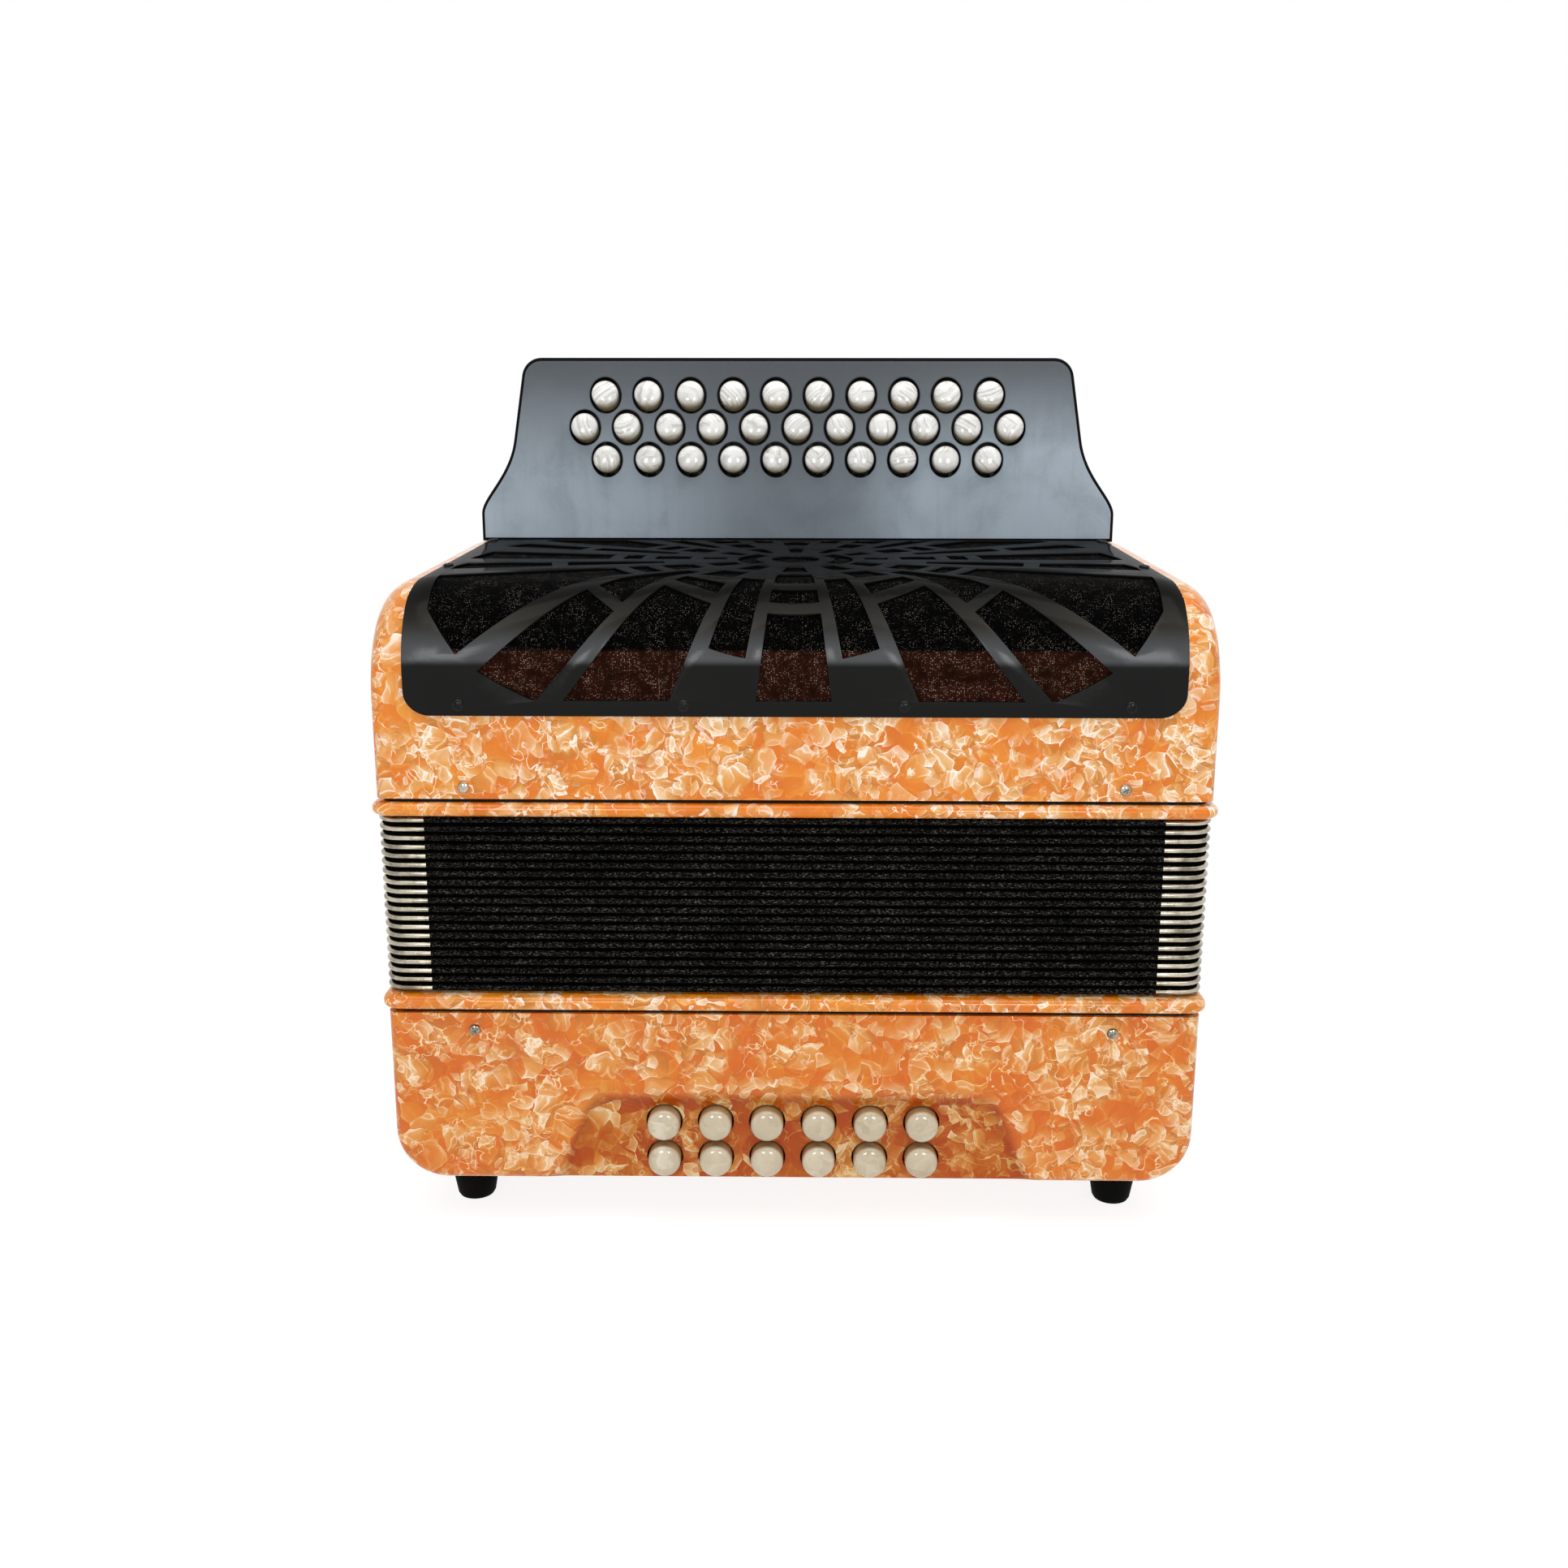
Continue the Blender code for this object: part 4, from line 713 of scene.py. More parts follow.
def clipped(points, axis, limit, side):
    kept = []
    for a, b in zip(points, points[1:] + points[:1]):
        insideA, insideB = side * (limit - a[axis]) >= 0, side * (limit - b[axis]) >= 0
        if insideA:
            kept.append(a)
        if insideA != insideB:
            share = (limit - a[axis]) / (b[axis] - a[axis])
            kept.append(tuple(p + (q - p) * share for p, q in zip(a, b)))
    return kept


def webCut(start, end, span, top):
    steps = max(2, round((end - start) / 2.5))
    middle = (0.0, grille["centre"])
    points = arcPoints(span[1] / 1000, start - 90, end - 90, steps, middle, span[-1] / 1000)
    points += reversed(arcPoints(span[0] / 1000, start - 90, end - 90, steps, middle))
    points = clipped(points, 1, grille["border"], -1)
    points = clipped(points, 1, top, 1)
    return clipped(points, 0, grille["halfWidth"] - grille["sideBorder"], 1)


def grilleEdge(inset=0.0):
    half, length = grille["halfWidth"] - inset, sum(sheetLengths())
    radius = max(grille["cornerRadius"] - inset, 0.001)
    edge = arcPoints(radius, -90, 0, 10, (half - radius, radius + inset)) + [(half, length)]
    return [(-x, y) for x, y in reversed(edge)] + edge


def bentSheet(outlines, thickness, lift, spacing=0.003):
    # fills the flat outlines, gives them a thickness, and bends the sheet over the case
    bm = bmesh.new()
    for outline in outlines:
        verts = [bm.verts.new((x, y, 0)) for x, y in outline]
        for a, b in zip(verts, verts[1:] + verts[:1]):
            bm.edges.new((a, b))
    bmesh.ops.triangle_fill(bm, use_beauty=True, edges=bm.edges, normal=(0, 0, 1))
    if thickness:
        pushed = bmesh.ops.extrude_face_region(bm, geom=bm.faces[:])["geom"]
        bmesh.ops.translate(bm, vec=(0, 0, thickness), verts=vertsIn(pushed))
    front, bend, top = sheetLengths()
    cuts = [((0, front + bend * step / 20, 0), (0, 1, 0)) for step in range(21)]
    cuts += [((side * (halfWidth - grille["sideRadius"] * (1 - math.sin(math.radians(7.5 * step)))), 0, 0),
              (1, 0, 0)) for side in (-1, 1) for step in range(5)]
    cuts += [((0, front + bend + top * step / 6, 0), (0, 1, 0)) for step in range(1, 6)]
    for place, normal in cuts:
        bmesh.ops.bisect_plane(bm, geom=bm.verts[:] + bm.edges[:] + bm.faces[:], dist=1e-6, plane_co=place,
                               plane_no=normal)
    flat = bm.loops.layers.uv.new("flat")
    for face in bm.faces:
        for loop in face.loops:
            loop[flat].uv = loop.vert.co.xy
    for vert in bm.verts:
        vert.co = sheetPoint(vert.co.x, vert.co.y, lift + vert.co.z)
    return bm


def makeGrille():
    top = sum(sheetLengths()) - grille["rearBorder"]
    outlines = [grilleEdge(), arcPoints(grille["hole"], 0, 350, 35, (0.0, grille["centre"]))]
    for start, end, spans in webMiddle:
        outlines += [webCut(start, end, span, top) for span in spans]
    for start, end, spans in webOpenings:
        for span in spans:
            right = webCut(start, end, span, top)
            outlines += [right, [(-x, y) for x, y in reversed(right)]]
    bm = outwards(bentSheet(outlines, grille["thickness"], grille["lift"]))
    rounding = ("BEVEL", {"width": grille["edge"], "segments": 2, "limit_method": "ANGLE",
                          "angle_limit": math.radians(50), "use_clamp_overlap": True})
    pieceOf(settled(bm, [rounding]), "grille_web", "treble", grilleEnamel, ["grille"], sharp=35)
    net = bentSheet([grilleEdge(0.0025)], 0, grille["lift"] * 0.5)
    pieceFrom(net, "grille_net", "treble", netCloth)


makeGrille()
print("grille made")


# ---- screws: small domed heads with a cross cut

screws = {
    "grille": {"radius": 0.0023, "height": 0.0010, "finish": blackSteel},
    "case": {"radius": 0.0022, "height": 0.0012, "finish": screwNickel},
}


def screwHead(bm, kind, place, outward):
    size = screws[kind]
    radius, height = size["radius"], size["height"]
    head = bmesh.new()
    turnedBody(head, [(0, -height), (radius * 0.82, -height), (radius * 0.82, height * 0.12),
                      (radius, height * 0.22), (radius * 0.86, height * 0.66),
                      (radius * 0.55, height * 0.92), (0, height)], (0, 0, 0), steps=20)
    outwards(head)
    arm, wide = radius * 0.58, radius * 0.13
    slots = [bmesh.new(), bmesh.new()]
    boxAt(slots[0], (-arm, -wide, height * 0.30), (arm, wide, height * 2))
    boxAt(slots[1], (-wide, -arm, height * 0.31), (wide, arm, height * 2.1))
    mesh = settled(head, cutters=slots)
    turn = Vector((0, 0, 1)).rotation_difference(Vector(outward)).to_matrix().to_4x4()
    mesh.transform(Matrix.Translation(place) @ turn @ Matrix.Rotation(math.radians(28), 4, "Z"))
    bm.from_mesh(mesh)
    bpy.data.meshes.remove(mesh)


def makeScrews():
    blacks = bmesh.new()
    lift = grille["lift"] + grille["thickness"]
    for x in (-0.1222, -0.0401, 0.0401, 0.1222):
        screwHead(blacks, "grille", (x, frontY - lift, 0.2085), (0, -1, 0))
    length = sum(sheetLengths())
    for side in (-1, 1):
        for along in (length - 0.095, length - 0.0045):
            place = sheetPoint(side * 0.1372, along, lift)
            beside = sheetPoint(side * 0.1362, along, lift)
            slope = (beside - place).normalized() * side
            outward = Vector((slope.z, 0, -slope.x)) if slope.x < 0 else Vector((-slope.z, 0, slope.x))
            screwHead(blacks, "grille", place, outward if outward.z > 0 else -outward)
    pieceFrom(blacks, "grille_screws", "treble", screws["grille"]["finish"])
    for name, body, z in (("treble_case_screws", "treble", 0.1776), ("bass_case_screws", "bass", 0.0823)):
        bm = bmesh.new()
        for x in (-0.1218, 0.1218):
            screwHead(bm, "case", (x, frontY, z), (0, -1, 0))
            screwHead(bm, "case", (x, rearY, z), (0, 1, 0))
        for side in (-1, 1):
            screwHead(bm, "case", (side * halfWidth, middleY, z), (side, 0, 0))
        pieceFrom(bm, name, body, screws["case"]["finish"])


makeScrews()
print("screws made")


# ---- bellows frames: flat rails with a rounded bead, and a felt gasket towards the case

beads = {"railWidth": 0.022, "cornerRadius": 0.006, "bead": 0.0024, "felt": 0.0012, "feltInset": 0.0036}


def ringOf(halfX, halfY, radius, low, profile):
    # carries a closed profile of (inward, upward) steps round a rectangle with rounded corners
    bm = bmesh.new()
    bmesh.ops.create_grid(bm, x_segments=1, y_segments=1, size=1.0)
    bmesh.ops.scale(bm, vec=(halfX, halfY, 1), verts=bm.verts)
    bmesh.ops.translate(bm, vec=(0, middleY, low), verts=bm.verts)
    bmesh.ops.bevel(bm, geom=bm.verts[:], offset=radius, segments=8, profile=0.5, affect="VERTICES", material=-1)
    bmesh.ops.delete(bm, geom=bm.faces[:], context="FACES_ONLY")

    def move(verts, inward, upward):
        for vert in verts:
            vert.co.x -= math.copysign(1, vert.co.x) * inward
            vert.co.y -= math.copysign(1, vert.co.y - middleY) * inward
            vert.co.z += upward

    move(bm.verts, *profile[0])
    first = edges = bm.edges[:]
    for (inA, upA), (inB, upB) in zip(profile, profile[1:]):
        pushed = bmesh.ops.extrude_edge_only(bm, edges=edges)["geom"]
        verts = set(vertsIn(pushed))
        move(verts, inB - inA, upB - upA)
        edges = [edge for edge in edgesIn(pushed) if verts.issuperset(edge.verts)]
    bmesh.ops.bridge_loops(bm, edges=edges + first)
    return outwards(bm)


def makeFrames():
    for name, node, body, below in (("treble_bead", "treble_bellows_frame", "treble", False),
                                    ("bass_bead", "bass_bellows_frame", "bass", True)):
        low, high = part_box(node)
        tall, felt, width, bead = high.z - low.z, beads["felt"], beads["railWidth"], beads["bead"]
        under, over = (felt, tall) if below else (0.0, tall - felt)
        turns = [math.radians(15 * step) for step in range(7)]
        edge = [(bead * (1 - math.sin(t)), under + bead * (1 - math.cos(t))) for t in turns]
        edge += [(bead * (1 - math.cos(t)), over - bead * (1 - math.sin(t))) for t in turns]
        profile = [(width, under), *edge, (width, over)]
        halfX, halfY = high.x, (high.y - low.y) / 2
        bm = ringOf(halfX, halfY, beads["cornerRadius"], low.z, profile)
        pieceFrom(bm, name, body, shellPearl, [node], sharp=40)
        under, over = (-0.0002, felt - 0.00002) if below else (tall - felt + 0.00002, tall + 0.0002)
        inset = beads["feltInset"]
        profile = [(width, under), (inset, under), (inset, over), (width, over)]
        bm = ringOf(halfX, halfY, beads["cornerRadius"], low.z, profile)
        pieceFrom(bm, f"{body}_gasket", body, gasketFelt)


makeFrames()
print("bellows frames made")


# ---- bellows: cloth-bound crests, folded card between them, and nickel guards on the crests' corners

bellows = {
    "folds": 20,
    "depth": 0.0195,
    "crest": 0.00114,         # half the thickness of a fold's bound edge
    "cornerRadius": 0.009,
    "card": 0.0008,
    "guardReach": 0.0187,     # along each side from the corner
    "guard": 0.00102,
    "guardDepth": 0.0042,
}


def blendSpan(low, high, z0, z1):
    def part(weight):
        return 0.5 - math.sin(math.asin(1 - 2 * weight) / 3)
    t0, t1 = part(low), part(high)
    length = (z1 - z0) / (t1 - t0)
    return (0, 0, z0 - t0 * length), (0, 0, z0 + (1 - t0) * length)


def crestRing(halfX, halfY, radius, z):
    crest = bellows["crest"]
    turns = [math.radians(22.5 * step) for step in range(9)]
    profile = [(crest * 2.4, -crest * 0.96)]
    profile += [(crest * 0.9 * (1 - math.sin(turn)), -crest * math.cos(turn)) for turn in turns]
    profile += [(crest * 2.4, crest * 0.96)]
    return ringOf(halfX, halfY, radius, z, profile)


def wallRing(halfX, halfY, radius, valley, below, above):
    # the card between two crests, folded inwards; at either end of the bellows only half of it is there
    size = bellows
    rim, depth, card = size["crest"] * 2.2, size["depth"], size["card"]
    outer = [(rim, below - valley)] if below < valley else []
    outer += [(depth, 0.0)]
    outer += [(rim, above - valley)] if above > valley else []
    inner = [(inward + card * (1 if upward == 0 else 2), upward) for inward, upward in reversed(outer)]
    return ringOf(halfX, halfY, radius, valley, outer + inner)


def guardCorner(halfX, halfY, radius, z):
    # a nickel channel clipped over the fold's edge: straight, round the corner, straight
    size = bellows
    crest, depth, reach = size["guard"], size["guardDepth"], size["guardReach"]
    bm = bmesh.new()
    startX = halfX - reach
    turns = [math.radians(22.5 * step) for step in range(9)]
    profile = [(depth, -crest * 0.9)]
    profile += [(crest * (1 - math.sin(turn)), -crest * math.cos(turn)) for turn in turns]
    profile += [(depth, crest * 0.9), (depth, crest * 0.5), (crest, crest * 0.5), (crest, -crest * 0.5),
                (depth, -crest * 0.5)]
    verts = [bm.verts.new((startX, middleY - halfY + inward, z + up)) for inward, up in profile]
    face = bm.faces.new(verts)
    face = pushFace(bm, face)
    bmesh.ops.translate(bm, vec=(reach - radius, 0, 0), verts=face.verts)
    for step in range(6):
        face = pushFace(bm, face)
        bmesh.ops.rotate(bm, cent=(halfX - radius, middleY - halfY + radius, 0),
                         matrix=Matrix.Rotation(math.radians(15), 3, "Z"), verts=face.verts)
    face = pushFace(bm, face)
    bmesh.ops.translate(bm, vec=(0, reach - radius, 0), verts=face.verts)
    return outwards(bm)


def makeBellows():
    size = bellows
    halfX, halfY = bellowsHalf - 0.0003, (bellowsHigh.y - bellowsLow.y) / 2 - 0.0003
    pitch = slideRoom / size["folds"]
    guardMesh = bpy.data.meshes.new("guard")
    corner = guardCorner(halfX + 0.0003, halfY + 0.0003, size["cornerRadius"], 0)
    corner.to_mesh(guardMesh)
    corner.free()
    folds, radius, edge = size["folds"], size["cornerRadius"], size["crest"] * 0.9
    for valley in range(folds + 1):
        z = bellowsLow.z + valley * pitch
        below, above = (z if valley == 0 else z - pitch / 2 + edge), (z if valley == folds else z + pitch / 2 - edge)
        piece = pieceFrom(wallRing(halfX, halfY, radius, z, below, above), f"bellows_wall_{valley + 1:02d}", None,
                          bellowsCard, sharp=50)
        share = max(valley - 0.5, 0) / folds, min(valley + 0.5, folds) / folds
        start, end = blendSpan(*share, below, above)
        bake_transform(piece)
    for fold in range(folds):
        low = bellowsLow.z + fold * pitch
        z = low + pitch / 2
        place = 0.5 - math.sin(math.asin(1 - 2 * (fold + 0.5) / folds) / 3)
        far = 10.0      # so long a span that start and end lie far either side of the crest
        start, end = (0, 0, z - place * far), (0, 0, z + (1 - place) * far)
        nodes = ["bellows"] if fold == 0 else []
        piece = pieceFrom(crestRing(halfX, halfY, radius, z), f"bellows_crest_{fold + 1:02d}", None, bellowsCloth,
                          nodes, sharp=50)
        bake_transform(piece)
        bm = bmesh.new()
        for mirrorX in (1, -1):
            for mirrorY in (1, -1):
                mesh = guardMesh.copy()
                mesh.transform(Matrix.Translation((0, middleY, 0)) @ Matrix.Diagonal((mirrorX, mirrorY, 1, 1))
                               @ Matrix.Translation((0, -middleY, low + pitch / 2)))
                bm.from_mesh(mesh)
                bpy.data.meshes.remove(mesh)
        piece = pieceFrom(outwards(bm), f"bellows_guards_{fold + 1:02d}", None, guardNickel, sharp=50)
        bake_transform(piece)
    bpy.data.meshes.remove(guardMesh)


makeBellows()
print("bellows made")


# ---- bass case: rounded box with a shallow hollow round the bass buttons

bassCase = {
    "bottomRadius": 0.020,
    "rimRadius": 0.004,
    "wall": 0.006,
    "hollowDepth": 0.0035,
    "hollowHalf": 0.0970,
    "hollowTopHalf": 0.0810,
    "hollowTop": 0.0400,       # above the case's foot
    "hollowSlant": 0.0115,
    "holeRadius": 0.0071,
    "airHoleRadius": 0.0065,
    "grid": 0.0022,
}


def softStep(value):
    value = min(max(value, 0.0), 1.0)
    return value * value * (3 - 2 * value)


def hollowAt(x, z):
    size = bassCase
    height = z - bassLow.z
    half = size["hollowHalf"] - (size["hollowHalf"] - size["hollowTopHalf"]) * max(height, 0) / size["hollowTop"]
    inward = (half - abs(x)) / size["hollowSlant"]
    below = (size["hollowTop"] - height) / size["hollowSlant"]
    if inward < 1 and below < 1:      # round upper corners
        depth = 1 - min(math.hypot(1 - inward, 1 - below), 1.0)
    else:
        depth = min(inward, below)
    return size["hollowDepth"] * softStep(depth)


def buttonCentres(prefix):
    found = {}
    for node in frame["nodes"]:
        if node.startswith(prefix):
            low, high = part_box(node)
            found[node] = (low + high) / 2
    return dict(sorted(found.items()))


def makeBassCase():
    size = bassCase
    bm = bmesh.new()
    boxAt(bm, bassLow, bassHigh)
    bottom = [e for e in bm.edges if all(v.co.z < bassLow.z + 1e-5 for v in e.verts)
              and abs(e.verts[0].co.y - e.verts[1].co.y) > 0.01]
    roundOver(bm, bottom, size["bottomRadius"], 14)
    rims = [e for e in bm.edges if abs(e.verts[0].co.y - e.verts[1].co.y) < 1e-6
            and min(v.co.z for v in e.verts) < bassHigh.z - 1e-5]
    roundOver(bm, rims, size["rimRadius"], 6)
    outwards(bm)
    bmesh.ops.delete(bm, geom=[f for f in bm.faces if f.normal.z > 0.9], context="FACES")
    reach, step = size["hollowHalf"] + 0.006, size["grid"]
    cuts = [((-reach + step * i, 0, 0), (1, 0, 0)) for i in range(int(2 * reach / step) + 2)]
    cuts += [((0, 0, bassLow.z + step * i), (0, 0, 1)) for i in range(1, int(size["hollowTop"] / step) + 2)]
    for place, normal in cuts:
        front = [f for f in bm.faces if f.calc_center_median().y < frontY + size["rimRadius"] + 0.0005]
        parts = {v for f in front for v in f.verts} | {e for f in front for e in f.edges} | set(front)
        bmesh.ops.bisect_plane(bm, geom=list(parts), dist=1e-6, plane_co=place, plane_no=normal)
    for vert in bm.verts:
        if vert.co.y < frontY + size["rimRadius"] * 0.999:
            share = 1 - (vert.co.y - frontY) / size["rimRadius"]
            vert.co.y += hollowAt(vert.co.x, vert.co.z) * share
    holes = bmesh.new()
    for centre in buttonCentres("bass_button").values():
        made = bmesh.new()
        bmesh.ops.create_cone(made, cap_ends=True, segments=40, radius1=size["holeRadius"],
                              radius2=size["holeRadius"], depth=0.03)
        bmesh.ops.rotate(made, matrix=Matrix.Rotation(math.pi / 2, 3, "X"), verts=made.verts)
        bmesh.ops.translate(made, vec=(centre.x, frontY, centre.z), verts=made.verts)
        mesh = bpy.data.meshes.new("hole")
        made.to_mesh(mesh)
        made.free()
        holes.from_mesh(mesh)
        bpy.data.meshes.remove(mesh)
    airLow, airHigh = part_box("air_button")
    made = bmesh.ops.create_cone(holes, cap_ends=True, segments=40, radius1=size["airHoleRadius"],
                                 radius2=size["airHoleRadius"], depth=0.03)["verts"]
    bmesh.ops.translate(holes, vec=((airLow.x + airHigh.x) / 2, (airLow.y + airHigh.y) / 2, bassLow.z), verts=made)
    outwards(holes)
    wall = ("SOLIDIFY", {"thickness": size["wall"], "offset": -1.0, "use_even_offset": True})
    shell = settled(bm, [wall], [holes])
    pieceOf(shell, "bass_shell", "bass", shadedHollowPearl, ["bass_case"], sharp=38)


makeBassCase()
print("bass case made")


# ---- bass buttons and air button

bassButton = {"radius": 0.0064, "length": 0.0130, "stem": 0.0020}


def capProfile(radius, length, dome, stem=None, stemEnd=0.0):
    # from the tip at 0 back along +height
    profile = [(0, 0)]
    for step in range(1, 6):
        turn = math.radians(13 * step)
        profile.append((radius * 0.86 * math.sin(turn) / math.sin(math.radians(65)),
                        dome * 0.55 * (1 - math.cos(turn)) / (1 - math.cos(math.radians(65)))))
    profile += [(radius * 0.94, dome * 0.78), (radius * 0.985, dome * 1.15), (radius, dome * 1.7), (radius, length)]
    if stem:
        profile += [(stem, length + 0.0002), (stem, stemEnd), (0, stemEnd)]
    else:
        profile += [(0, length)]
    return profile


def makeBassButtons():
    size = bassButton
    for name, centre in buttonCentres("bass_button").items():
        low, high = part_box(name)
        bm = turnedBody(bmesh.new(), capProfile(size["radius"], size["length"], 0.0020, size["stem"], high.y - low.y),
                        (centre.x, low.y, centre.z), "Y", 36)
        pieceFrom(outwards(bm), name.replace("button", "cap"), name, bassPearl, [name], sharp=50)
    low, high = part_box("air_button")
    bm = turnedBody(bmesh.new(), capProfile(0.0059, 0.0130, 0.0018, 0.0020, high.z - low.z),
                    ((low.x + high.x) / 2, (low.y + high.y) / 2, low.z), "Z", 32)
    pieceFrom(outwards(bm), "air_cap", "air_button", bassPearl, ["air_button"], sharp=50)


makeBassButtons()
print("bass buttons made")


# ---- fingerboard: swept outline, rounded front edge, and a softened rim at each hole

fingerboard = {
    "shoulder": 0.0120,
    "neck": 0.0447,
    "baseHalf": 0.1431,
    "neckHalf": 0.1272,
    "topHalf": 0.1213,
    "cornerRadius": 0.009,
    "face": 0.004,
    "wall": 0.005,
    "edge": 0.0015,
    "holeHalfWidth": 0.0070,
    "holeHalfHeight": 0.0078,
    "rim": 0.00045,
}


def boardOutline(inset=0.0):
    size = fingerboard
    low, high = boardLow.z, boardHigh.z
    shoulderZ, neckZ = low + size["shoulder"], low + size["neck"]
    sweep = neckZ - shoulderZ
    lean = (size["neckHalf"] - size["topHalf"]) / (high - neckZ)
    curve = interpolate_bezier(
        Vector((size["baseHalf"], shoulderZ)), Vector((size["baseHalf"], shoulderZ + sweep * 0.23)),
        Vector((size["neckHalf"] + lean * sweep * 0.5, neckZ - sweep * 0.5)), Vector((size["neckHalf"], neckZ)), 22)
    radius = size["cornerRadius"]
    tilt = math.atan(lean)
    reach = radius * (1 - math.sin(tilt)) / math.cos(tilt)
    corner = arcPoints(radius, math.degrees(tilt), 90, 10, (size["topHalf"] - reach, high - radius))
    right = [(size["baseHalf"], low)] + [tuple(point) for point in curve] + corner
    outline = right + [(-x, z) for x, z in reversed(right)]
    if not inset:
        return outline
    moved = []
    for before, here, after in zip(outline[-1:] + outline[:-1], outline, outline[1:] + outline[:1]):
        a, b = Vector(here) - Vector(before), Vector(after) - Vector(here)
        normals = [Vector((-side.y, side.x)).normalized() for side in (a, b)]
        bisector = (normals[0] + normals[1]).normalized()
        moved.append(tuple(Vector(here) + bisector * inset / max(bisector.dot(normals[0]), 0.3)))
    return moved


def ovalPoints(centre, halfWidth, halfHeight, count=40):
    turns = [2 * math.pi * step / count for step in range(count)]
    return [(centre[0] + halfWidth * math.cos(t), centre[1] + halfHeight * math.sin(t)) for t in turns]


def loopAt(bm, points, y):
    verts = [bm.verts.new((x, y, z)) for x, z in points]
    return [bm.edges.new(pair) for pair in zip(verts, verts[1:] + verts[:1])]


def treblePlaces():
    places = {}
    for joint in record["behaviour"]["joints"]:
        child = joint["child"]
        if child.startswith("treble_key"):
            low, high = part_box(child)
            places[child] = Vector((joint["pos_m"][0], low.y, 0))
    heights = {row: boardLow.z + 0.0363 + 0.0140 * tier for tier, row in enumerate(("inner", "middle", "outer"))}
    for name, place in places.items():
        place.z = heights[name.split("_")[2]]
    return dict(sorted(places.items()))


def makeFingerboard():
    size = fingerboard
    front = boardLow.y
    bm = bmesh.new()
    support = loopAt(bm, boardOutline(size["edge"] * 1.6), front)
    holes = []
    rim = size["rim"]
    for place in treblePlaces().values():
        spread = rim * 1.7
        points = ovalPoints((place.x, place.z), size["holeHalfWidth"] + spread, size["holeHalfHeight"] + spread)
        holes.append((place, loopAt(bm, points, front)))
    bmesh.ops.triangle_fill(bm, use_beauty=True, edges=bm.edges[:], normal=(0, -1, 0))
    for place, edges in holes:
        steps = [(rim, 0.0)] + [(rim * (1 - math.sin(math.radians(a))), rim * (1 - math.cos(math.radians(a))))
                                for a in (30, 60, 90)] + [(0.0, size["face"])]
        for spread, deep in steps:
            pushed = bmesh.ops.extrude_edge_only(bm, edges=edges)["geom"]
            verts = vertsIn(pushed)
            for vert in verts:
                turn = math.atan2((vert.co.z - place.z) / size["holeHalfHeight"],
                                  (vert.co.x - place.x) / size["holeHalfWidth"])
                vert.co.x = place.x + (size["holeHalfWidth"] + spread) * math.cos(turn)
                vert.co.z = place.z + (size["holeHalfHeight"] + spread) * math.sin(turn)
                vert.co.y = front + deep
            edges = [e for e in edgesIn(pushed) if all(v in verts for v in e.verts)]
    edges = support
    radius = size["edge"]
    steps = [(radius, 0.0)]
    steps += [(radius * (1 - math.sin(math.radians(a))), radius * (1 - math.cos(math.radians(a)))) for a in
              (22, 45, 67, 90)]
    steps += [(0.0, boardHigh.y - front), (size["wall"], boardHigh.y - front), (size["wall"], front + size["face"])]
    steps[-1] = (size["wall"], size["face"])
    count = len(boardOutline())
    for inset, deep in steps:
        pushed = bmesh.ops.extrude_edge_only(bm, edges=edges)["geom"]
        verts = vertsIn(pushed)
        target = [Vector((x, front + deep, z)) for x, z in boardOutline(inset)]
        ordered = orderedLoop([e for e in edgesIn(pushed) if all(v in verts for v in e.verts)])
        matchLoop(ordered, target)
        edges = [e for e in edgesIn(pushed) if all(v in verts for v in e.verts)]
    outwards(bm)
    centres = [(place.x, place.z) for place in treblePlaces().values()]
    for face in bm.faces:
        middle = face.calc_center_median()
        atHole = any(math.hypot(middle.x - x, middle.z - z) < 0.0095 for x, z in centres)
        if face.normal.y > (-0.2 if atHole else -0.985):
            face.material_index = 1
    pieceFrom(bm, "fingerboard_body", "treble", boardSatin, ["fingerboard"], sharp=40, finishes=[boardEdge])

    low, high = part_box("fingerboard_back")
    bm = bmesh.new()
    bm.faces.new([bm.verts.new((x, low.y, z)) for x, z in boardOutline()])
    pushFace(bm, next(iter(bm.faces)))
    bm.faces.ensure_lookup_table()
    bmesh.ops.translate(bm, vec=(0, high.y - low.y, 0), verts=bm.faces[-1].verts)
    outwards(bm)
    roundOver(bm, [e for e in bm.edges if all(v.co.y > high.y - 1e-5 for v in e.verts)], 0.0009, 3)
    pieceFrom(bm, "fingerboard_cover", "treble", coverSatin, ["fingerboard_back"], sharp=40)
    heads = bmesh.new()
    for x, z in ((-0.112, 0.327), (0.112, 0.327), (-0.130, 0.2635), (0.130, 0.2635), (0, 0.328), (0, 0.2625)):
        screwHead(heads, "grille", (x, high.y - 0.0004, z), (0, 1, 0))
    pieceFrom(heads, "cover_screws", "treble", blackSteel)


def orderedLoop(edges):
    # the loop's vertices in order
    links = {}
    for edge in edges:
        a, b = edge.verts
        links.setdefault(a, []).append(b)
        links.setdefault(b, []).append(a)
    start = next(iter(links))
    ordered, before, here = [start], None, start
    while True:
        after = next(v for v in links[here] if v is not before)
        if after is start:
            return ordered
        ordered.append(after)
        before, here = here, after


def matchLoop(ordered, targets):
    # moves the loop onto the target points, starting from the nearest pair
    nearest = min(range(len(targets)), key=lambda i: (targets[i] - ordered[0].co).length)
    count = len(targets)
    forward = (targets[(nearest + 1) % count] - ordered[1].co).length
    backward = (targets[(nearest - 1) % count] - ordered[1].co).length
    step = 1 if forward <= backward else -1
    for i, vert in enumerate(ordered):
        vert.co = targets[(nearest + step * i) % count]


makeFingerboard()
print("fingerboard made")


# ---- treble buttons, their levers and pallets

